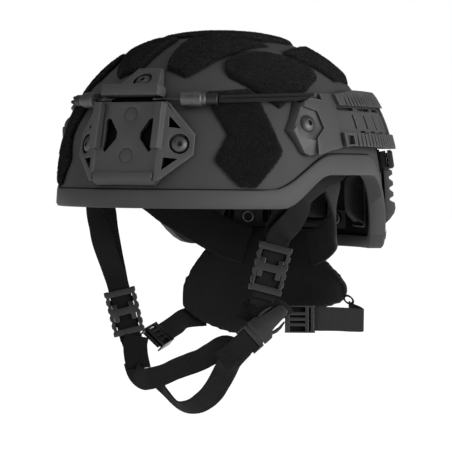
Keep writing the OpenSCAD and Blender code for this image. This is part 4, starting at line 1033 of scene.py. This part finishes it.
CORD_D, CORD_GAP = 2.8, 0.3
FERRULE_LEN, SLEEVE_FROM = 28, 19
FERRULE_FRONT = np.array([37.5, -122.6, 82.4])
FERRULE_TURN = radians(204.3)
FERRULE_BACK = FERRULE_FRONT - FERRULE_LEN * np.array([cos(FERRULE_TURN),
                                                       sin(FERRULE_TURN), 0])


def cord_route(t, dz):
    """A strand's route from the ferrule, where t is 0, to the rail, where it is 1."""
    p = on_shell(mix(33, 71.5, t), mix(FERRULE_BACK[2], 86, t) + dz,
                 mix(8.2, 6.5, t) - 0.9 * sin(pi * t))
    return mix(FERRULE_BACK + np.array([0.6, 0.3, 0.8 * dz]), p, min(1, 5 * t))


GRIP = [(0, 4.6), (0.6, 5.6), (1.4, 6.0), (15.2, 6.0), (15.8, 5.5), (16.2, 4.9), (18.6, 4.9),
        (19.2, 4.5), (19.6, 4.4), (27.4, 4.4), (28, 4.0)]


def turned(name, front, back, profile, material, sides=56, knurl=0.0, step=0.46):
    """A turned sleeve along a line, closed at both ends, with a knurl where it is widest."""
    ahead = unit(back - front)
    side, out = axes_of(ahead, HIGH)
    steps = []
    for (x0, r0), (x1, r1) in zip(profile, profile[1:]):
        parts = max(1, int((x1 - x0) / step))
        steps += [(mix(x0, x1, k / parts), mix(r0, r1, k / parts)) for k in range(parts)]
    steps.append(profile[-1])
    wide = max(r for x, r in profile)
    rows = [front + ahead * steps[0][0]]
    for i, (x, r) in enumerate(steps):
        full = circle(front + ahead * x, side, out, r, sides)
        cut = circle(front + ahead * x, side, out, r - knurl, sides)
        rows += [(cut if r == wide and (i + k) % 2 else full)[k] for k in range(sides)]
    rows.append(front + ahead * steps[-1][0])
    end, last = len(rows) - 1, len(rows) - 1 - sides
    faces = tube_faces(len(steps), sides, 1)
    faces += [(0, 1 + (k + 1) % sides, 1 + k) for k in range(sides)]
    faces += [(end, last + k, last + (k + 1) % sides) for k in range(sides)]
    mesh = new_mesh(name, rows, faces)
    outward(mesh)
    shade(mesh, 24)
    return placed(name, mesh, material)


for side, body in (("l", "lanyard_left"), ("r", "lanyard_right")):
    to_side = flip if side == "r" else np.array
    front, back = to_side(FERRULE_FRONT), to_side(FERRULE_BACK)
    ferrule = turned("ferrule_" + side, front, back, GRIP, FERRULE_METAL, knurl=0.16)
    ferrule.data.materials.append(FERRULE_SLEEVE)
    for face in ferrule.data.polygons:
        run = np.dot(np.array(face.center) / MM - front, unit(back - front))
        face.material_index = int(run > SLEEVE_FROM)
    hand_over(ferrule, "ferrule", "lanyard_ferrule_" + side, body=body)
    for level, way in (("top", 1), ("low", -1)):
        route = [to_side(cord_route(i / 10, way * (CORD_D + CORD_GAP) / 2))
                 for i in range(10, -1, -1)]
        strand, line, run = round_strand(f"lanyard_{side}_{level}", route, CORD_D / 2,
                                         CORD_BRAID)
        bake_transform(strand)
        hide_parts(f"lanyard_cord_{side}")
        [p * MM for p in line]


# Stitching


STITCHES, THREAD_OFF = stitch_tree(THREAD), 0.12
threads = []


def on_strip(name, t, x, up=1.0):
    """A point on a strip's face: t along it, x across it, -1 to 1."""
    line, face, width, thick = STRIPS[name]
    s = t * (len(line) - 1)
    i = min(int(s), len(line) - 2)
    side, out = axes_of(unit(line[i + 1] - line[i]), face[i])
    return (mix(line[i], line[i + 1], s - i) + side * x * width / 2
            + out * up * (thick / 2 + THREAD_OFF))


def sewn(name):
    """The seams gathered so far, as one row of stitches."""
    verts, edges = [], []
    for row in threads:
        edges += [(len(verts) + k, len(verts) + k + 1) for k in range(len(row) - 1)]
        verts += [tuple(p * MM) for p in row]
    threads.clear()
    mesh = bpy.data.meshes.new(name)
    mesh.from_pydata(verts, edges, [])
    return run_tree(placed(name, mesh, THREAD), STITCHES,
                    {"Pitch": 0.0026, "Length": 0.0018, "Thread": 0.00028})


def box_seam(name, a, b, x=0.74, up=1.0, cross=True):
    """A sewn box on a strip from a to b along it, with a cross in it."""
    for s in (-x, x):
        threads.append([on_strip(name, mix(a, b, k / 8), s, up) for k in range(9)])
    for t in (a, b):
        threads.append([on_strip(name, t, mix(-x, x, k / 4), up) for k in range(5)])
    if cross:
        for s in (-1, 1):
            threads.append([on_strip(name, mix(a, b, k / 8), mix(-x * s, x * s, k / 8), up)
                            for k in range(9)])


box_seam("chin_strap_wrap", 0.955, 0.99, 0.72, -1.0)
box_seam("chin_strap_wrap", 0.93, 0.95, 0.72, -1.0, False)
chin_stitching = sewn("chin_stitching")
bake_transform(chin_stitching)
box_seam("front_leg_left", 0.93, 0.99)

# A keeper loop round the nape pad's corner, 4.2 by 2.6 mm inside
keeper_right, keeper_up = unit(0.6 * HIGH - 0.8 * ACROSS), unit(0.6 * ACROSS + 0.8 * HIGH)
turns = np.linspace(0, 2 * pi, 17)
harness(
    "nape_keeper", None, 14,
    [nape_pt(57, -73.4, 3.2) + 4.2 * cos(t) * keeper_right + 2.6 * sin(t) * keeper_up
     for t in turns],
    [cos(t) * keeper_right + 1.3 * sin(t) * keeper_up for t in turns],
    width=13, thick=1.3, steps=3)
box_seam("nape_strap_right", 0.86, 0.98)
box_seam("chin_tab", 0.1, 0.9)
for yoke in ("nape_yoke_left", "nape_yoke_right"):
    for s in (-0.88, 0.88):
        for up in (-1.0, 1.0):
            threads.append([on_strip(yoke, mix(0.02, 0.98, k / 40), s, up) for k in range(41)])
hand_over(sewn("stitching"), "webbing")


# Frayed threads on the cut end of the chin strap's tab

FRAYS, FRAY_WIDE = 260, 0.3
dice = random.Random(5)
fray_verts, fray_faces = [], []
for number in range(FRAYS):
    root = on_strip("chin_fold", dice.uniform(0.965, 1.0), dice.uniform(-1.0, 1.0), -0.5)
    tip = root + np.array([dice.gauss(0, 0.9), dice.gauss(0, 0.4), -abs(dice.gauss(0.2, 0.5))])
    side = unit(np.cross(tip - root, VIEW)) * FRAY_WIDE
    back = unit(np.cross(tip - root, side)) * FRAY_WIDE
    a, b, c, d = range(4 * number, 4 * number + 4)
    fray_verts += [root - side, root + side, root + back, tip]
    fray_faces += [(b, a, c), (a, b, d), (b, c, d), (c, a, d)]
fray = placed("frayed_threads", new_mesh("frayed_threads", fray_verts, fray_faces), FRAY)
hand_over(fray, "webbing")


# Moulded, rubber and metal pieces


def moulded_plate(name, outline, place, z0, z1, material, edge):
    """A flat moulding: its outline drawn in a piece's own axes, with eased edges."""
    n = len(outline)
    mesh = new_mesh(name, [place(x, y, z) for z in (z0, z1) for x, y in outline],
                    [tuple(range(n - 1, -1, -1)), tuple(range(n, 2 * n))] + tube_faces(2, n))
    outward(mesh)
    bm = for_edit(mesh)
    bevelled(bm, list(bm.edges), edge)
    write_back(bm, mesh)
    shade(mesh, 30)
    return placed(name, mesh, material)


COVER = [[-10.3, -0.2], [-10.3, 3], [-8.6, 6], [-5.4, 22.5], [-4.6, 26.5], [-3.4, 28.6],
         [3.4, 28.6], [4.6, 26.5], [5.6, 14], [6.4, 10.4], [8.8, 8.2], [10.3, 5.5],
         [10.3, -0.2]]
for z in (3.05, -3.75):
    cover = moulded_plate("socket_cover", COVER, buckle_pt, z, z + 0.7, CHIN_BUCKLE, 0.2)
    hand_over(cover, "buckle_plastic")

# Paint outside the shell and near-black painted shade inside, told apart by a middle low in the
# shell
shell = eased("shell", SHELL_PAINT, 0.0, smooth=40)
shell.data.materials.append(INSIDE_SHADE)
for face in shell.data.polygons:
    middle = Vector((face.center.x, face.center.y * 0.8, face.center.z - 0.01))
    if face.normal.dot(middle) < 0:
        face.material_index = 1
# Each node's finish, eased edge, sharpest edge left, steps of the easing and smoothing angle
PAIRS = (("rail_", SHROUD_PLASTIC, 0.4, 35), ("adjuster_", BUCKLE_PLASTIC, 0.5),
         ("nape_buckle_", BUCKLE_PLASTIC, 0.45), ("goggle_clip_", BLACK_PLASTIC))
EASED = (("rim_trim", TRIM_RUBBER, 0.7, 50, 3, 40),
         ("rear_bumper", TRIM_RUBBER, 0.35, 35, 2, 35),
         ("shroud", SHROUD_PLASTIC, 0.45, 28), ("shroud_inserts", INSERT_PLASTIC, 0.15),
         *((label + side, *finish) for side in ("l", "r") for label, *finish in PAIRS),
         ("buckle_female", CHIN_BUCKLE), ("buckle_male", CHIN_BUCKLE),
         ("buckle_prong_upper", CHIN_BUCKLE), ("buckle_prong_lower", CHIN_BUCKLE),
         ("shroud_screws", SCREW_STEEL, 0.12, 35), ("rail_screws", SCREW_STEEL, 0.12, 35))
for node, *finish in EASED:
    eased(node, *finish)
# Small or hidden nodes, shown as they are
for node, material in (("lanyard_hook_l", WIRE_STEEL), ("lanyard_hook_r", WIRE_STEEL),
                       ("inner_nuts", SCREW_STEEL), ("strap_anchors", SCREW_STEEL),
                       ("rear_bracket", BLACK_PLASTIC), ("pad_fasteners", HOOK_FACE)):
    dress(frame["nodes"][node].data, material)


# Fine lines: a near-black bead of painted shade in the seam over the trim, and rings of painted
# shade round the shroud's inserts

SEAM_FRONT, SEAM_EAR, SEAM_OVER_RIM = 15, 27.5, 16


def seam_z(a):
    """The height of the seam between the trim and the paint."""
    b = abs(a - 360 if a > 180 else a)
    if b < 90:
        return SEAM_FRONT + SEAM_EAR * rise(b, 51, 77)
    return rim_z(a) + SEAM_OVER_RIM - 12 * rise(b, 99, 109) + 9 * rise(b, 126, 141)


def ring_of(name, points, radius, material, sides=6):
    """A thin closed bead along a closed line of points."""
    n = len(points)
    centre = sum(points) / n
    rows = []
    for i, p in enumerate(points):
        ahead = unit(points[(i + 1) % n] - points[i - 1])
        out = unit(p - centre - ahead * np.dot(p - centre, ahead))
        rows += circle(p, out, np.cross(ahead, out), radius, sides)
    mesh = new_mesh(name, rows, tube_faces(n, sides, closed=True))
    shade(mesh, 80)
    return placed(name, mesh, material)


for edge in PAD_EDGES:
    hand_over(ring_of("pad_piping", piping_line(*edge), 1.1, PIPING, 8), "pad_fabric")
# The seam's dark line is painted shade: a near-black bead just over the trim
bead = ring_of("seam_painted_shade", [on_shell(a, seam_z(a) + 0.35, 0.15) for a in range(360)],
               0.33, SEAM_SHADE)
hand_over(bead, "edge_rubber")
LEFTWARD = np.array([1, 0, 0])
FACE_OUT, FACE_UP = np.array([0, -0.9774, 0.2113]), np.array([0, 0.2113, 0.9774])
discs = points_of(frame["nodes"]["shroud_inserts"].data) / MM
above = discs[:, 2] > discs[:, 2].mean()
# Dark rings round the shroud's inserts: painted shade in the grooves between insert and shroud
for disc in (discs[above], discs[~above]):
    out = disc @ FACE_OUT
    front = disc[out > out.max() - 0.05]
    centre = (front.max(0) + front.min(0)) / 2
    loop = circle(centre, LEFTWARD, FACE_UP, np.ptp(front[:, 0]) / 2, 48)
    hand_over(ring_of("insert_groove", loop, 0.2, SEAM_SHADE), "insert")
INSERT_LOW, INSERT_Y, INSERT_IN = centre, 3.2, 0.2


def shroud_pt(x, y, z):
    """A point in the shroud's own leaning axes."""
    return (INSERT_LOW + LEFTWARD * x + FACE_UP * (y - INSERT_Y)
            + FACE_OUT * (z + INSERT_IN))


def shell_behind(x, y, off=0.5, far=40.0, near=10.0, halvings=40):
    """Where the shell lies behind a point of the shroud's face, found by halving."""
    low, high = -far, near
    for number in range(halvings):
        middle = (low + high) / 2
        q = shroud_pt(x, y, middle)
        inside = (abs(q[0]) / (SHELL_W / 2 + off)) ** PLAN_POW \
            + (abs(q[1]) / (SHELL_LEN / 2 + off)) ** PLAN_POW
        if inside < shrink(q[2], CROWN_H + off) ** PLAN_POW:
            low = middle
        else:
            high = middle
    return q


def sheet_of(name, rows, material, thick=0.45):
    """A thin gasket sheet, near-black as painted shade, through rows of points."""
    mesh = new_mesh(name, [p for row in rows for p in row], grid_faces(len(rows), len(rows[0])))
    facing_out(mesh)
    shade(mesh, 60)
    return backed(placed(name, mesh, material), thick)


# Painted shade: a near-black plate at the bottom of the slot over the shroud, and a near-black
# sheet behind the shroud so that its windows show dark
shade_plate = moulded_plate("slot_shade", [[-23, 44.9], [23, 44.9], [23, 48.0], [-23, 48.0]],
                            shroud_pt, -7.8, -5.6, GASKET_SHADE, 0.1)
hand_over(shade_plate, "mount_plastic")
GASKET_SHADE_EDGE = [[27, -13], [33.5, -8.5], [44, 3.5], [44, 24], [37, 34.5], [31, 41.5]]
rows = []
for i in range(21):
    wide, high = along(GASKET_SHADE_EDGE, i / 20)
    rows.append([shell_behind(wide * k / 16, high) for k in range(-16, 17)])
hand_over(sheet_of("shroud_gasket_shade", rows, GASKET_SHADE), "mount_plastic")


def patch_rows(angles, heights, off):
    """Rows of points off the shell on the side that is being made."""
    return [[on_shell(a, z, off) * mirror for a in range(*angles, 2)]
            for z in range(*heights, 3)]


def clip_pt(x, y, z):
    """A point in the axes of the goggle clip on the side that is being made."""
    out = shell_normal(*CLIP_AT)
    run = unit([-out[1], out[0], 0])
    return (on_shell(*CLIP_AT, 0.9) + run * x + np.cross(out, run) * y + out * z) * mirror


CLIP_AT, EYE_AT, EYE_IN, EYE_R = (120.5, 38), (156.5, -9.5), -14 - 4.3, 4.2
for side in (1, -1):
    mirror = np.array([side, 1, 1])
    # Near-black sheets of painted shade behind the rail and the goggle clip; the band in the
    # clip's slot is near-black too
    hand_over(sheet_of("rail_gasket_shade", patch_rows((84, 122), (51, 88), 0.6), GASKET_SHADE),
              "mount_plastic")
    hand_over(sheet_of("clip_gasket_shade", patch_rows((114, 128), (29, 48), 1.0), GASKET_SHADE, 0.6),
              "black_plastic")
    band = moulded_plate("clip_band", [[-8.6, -5.8], [4.2, -5.8], [4.2, 5.8], [-8.6, 5.8]],
                         clip_pt, 4.7, 5.9, GASKET_SHADE, 0.2)
    hand_over(band, "black_plastic")
    n = shell_normal(*EYE_AT)
    e = unit([-n[1], n[0], 0])
    eye = [p * mirror for p in circle(on_shell(*EYE_AT, EYE_IN), e, np.cross(n, e), EYE_R, 32)]
    hand_over(ring_of("snap_ring", eye, 0.5, SNAP_STEEL), "hardware")


# Floor, background and light

FLOOR_SIZE, FLOOR_DROP, FLOOR_GREY, FLOOR_GLOW, FLOOR_SEEN = 6, 0.0006, 0.86, 1.12, 0.93
SOFT_LIGHT = 0.21


def white_for(tree, ways, plain_light, white, share=1.0):
    """White for the camera and for one more way of seeing, and plain light for the rest."""
    ray = add_node(tree, "ShaderNodeLightPath").outputs
    seen = add_node(tree, "ShaderNodeMath", {0: ray[ways[0]], 1: ray[ways[1]]},
                    operation="MAXIMUM")
    part = add_node(tree, "ShaderNodeMath", {0: seen.outputs[0]}, {1: share},
                    operation="MULTIPLY")
    return add_node(tree, "ShaderNodeMixShader",
                    {0: part.outputs[0], 1: plain_light.outputs[0], 2: white.outputs[0]})


def floor_finish():
    """A matte floor that the camera and reflections see as white."""
    mat = bpy.data.materials.new("pale_floor")
    mat.use_nodes = True
    tree = mat.node_tree
    tree.nodes.clear()
    matte = add_node(tree, "ShaderNodeBsdfDiffuse", Color=grey(FLOOR_GREY))
    white = add_node(tree, "ShaderNodeEmission", Strength=FLOOR_GLOW)
    mixed = white_for(tree, ("Is Camera Ray", "Is Glossy Ray"), matte, white, FLOOR_SEEN)
    add_node(tree, "ShaderNodeOutputMaterial", {"Surface": mixed.outputs[0]})
    return mat


low = CAD_BOX[0][2] - FLOOR_DROP
corners = [(x * FLOOR_SIZE, y * FLOOR_SIZE, low) for x, y in ((-1, -1), (1, -1), (1, 1), (-1, 1))]
placed("floor", new_mesh("floor", corners, [(0, 1, 2, 3)], 1), floor_finish())

world = bpy.data.worlds.new("studio")
scene.world = world
world.use_nodes = True
tree = world.node_tree
soft = tree.nodes["Background"]
soft.inputs["Color"].default_value = grey(1)
soft.inputs["Strength"].default_value = SOFT_LIGHT
white = add_node(tree, "ShaderNodeBackground", Color=grey(1), Strength=1.0)
mixed = white_for(tree, ("Is Camera Ray", "Is Transmission Ray"), soft, white)
tree.links.new(mixed.outputs[0], tree.nodes["World Output"].inputs["Surface"])


def soft_box(name, side, high, near, size, power):
    """A lamp that faces the origin: its place and size in metres, and its watts."""
    lamp = bpy.data.lights.new(name, "AREA")
    lamp.shape = "RECTANGLE"
    lamp.size, lamp.size_y = size
    lamp.energy = power
    place = LEVEL * side + Vector((0, 0, high)) + BACK * near
    back = place.normalized()
    right = Vector((0, 0, 1)).cross(back).normalized()
    in_scene(name, lamp).matrix_world = turned_to(right, back.cross(right), back, place)


soft_box("key", 1.3, 0.25, 1.0, (1.0, 0.9), 20)
soft_box("fill", -1.5, 0.2, 0.8, (0.9, 1.1), 4.5)
soft_box("top", -0.4, 1.5, 0.3, (0.8, 0.8), 1.5)

bpy.context.view_layer.update()
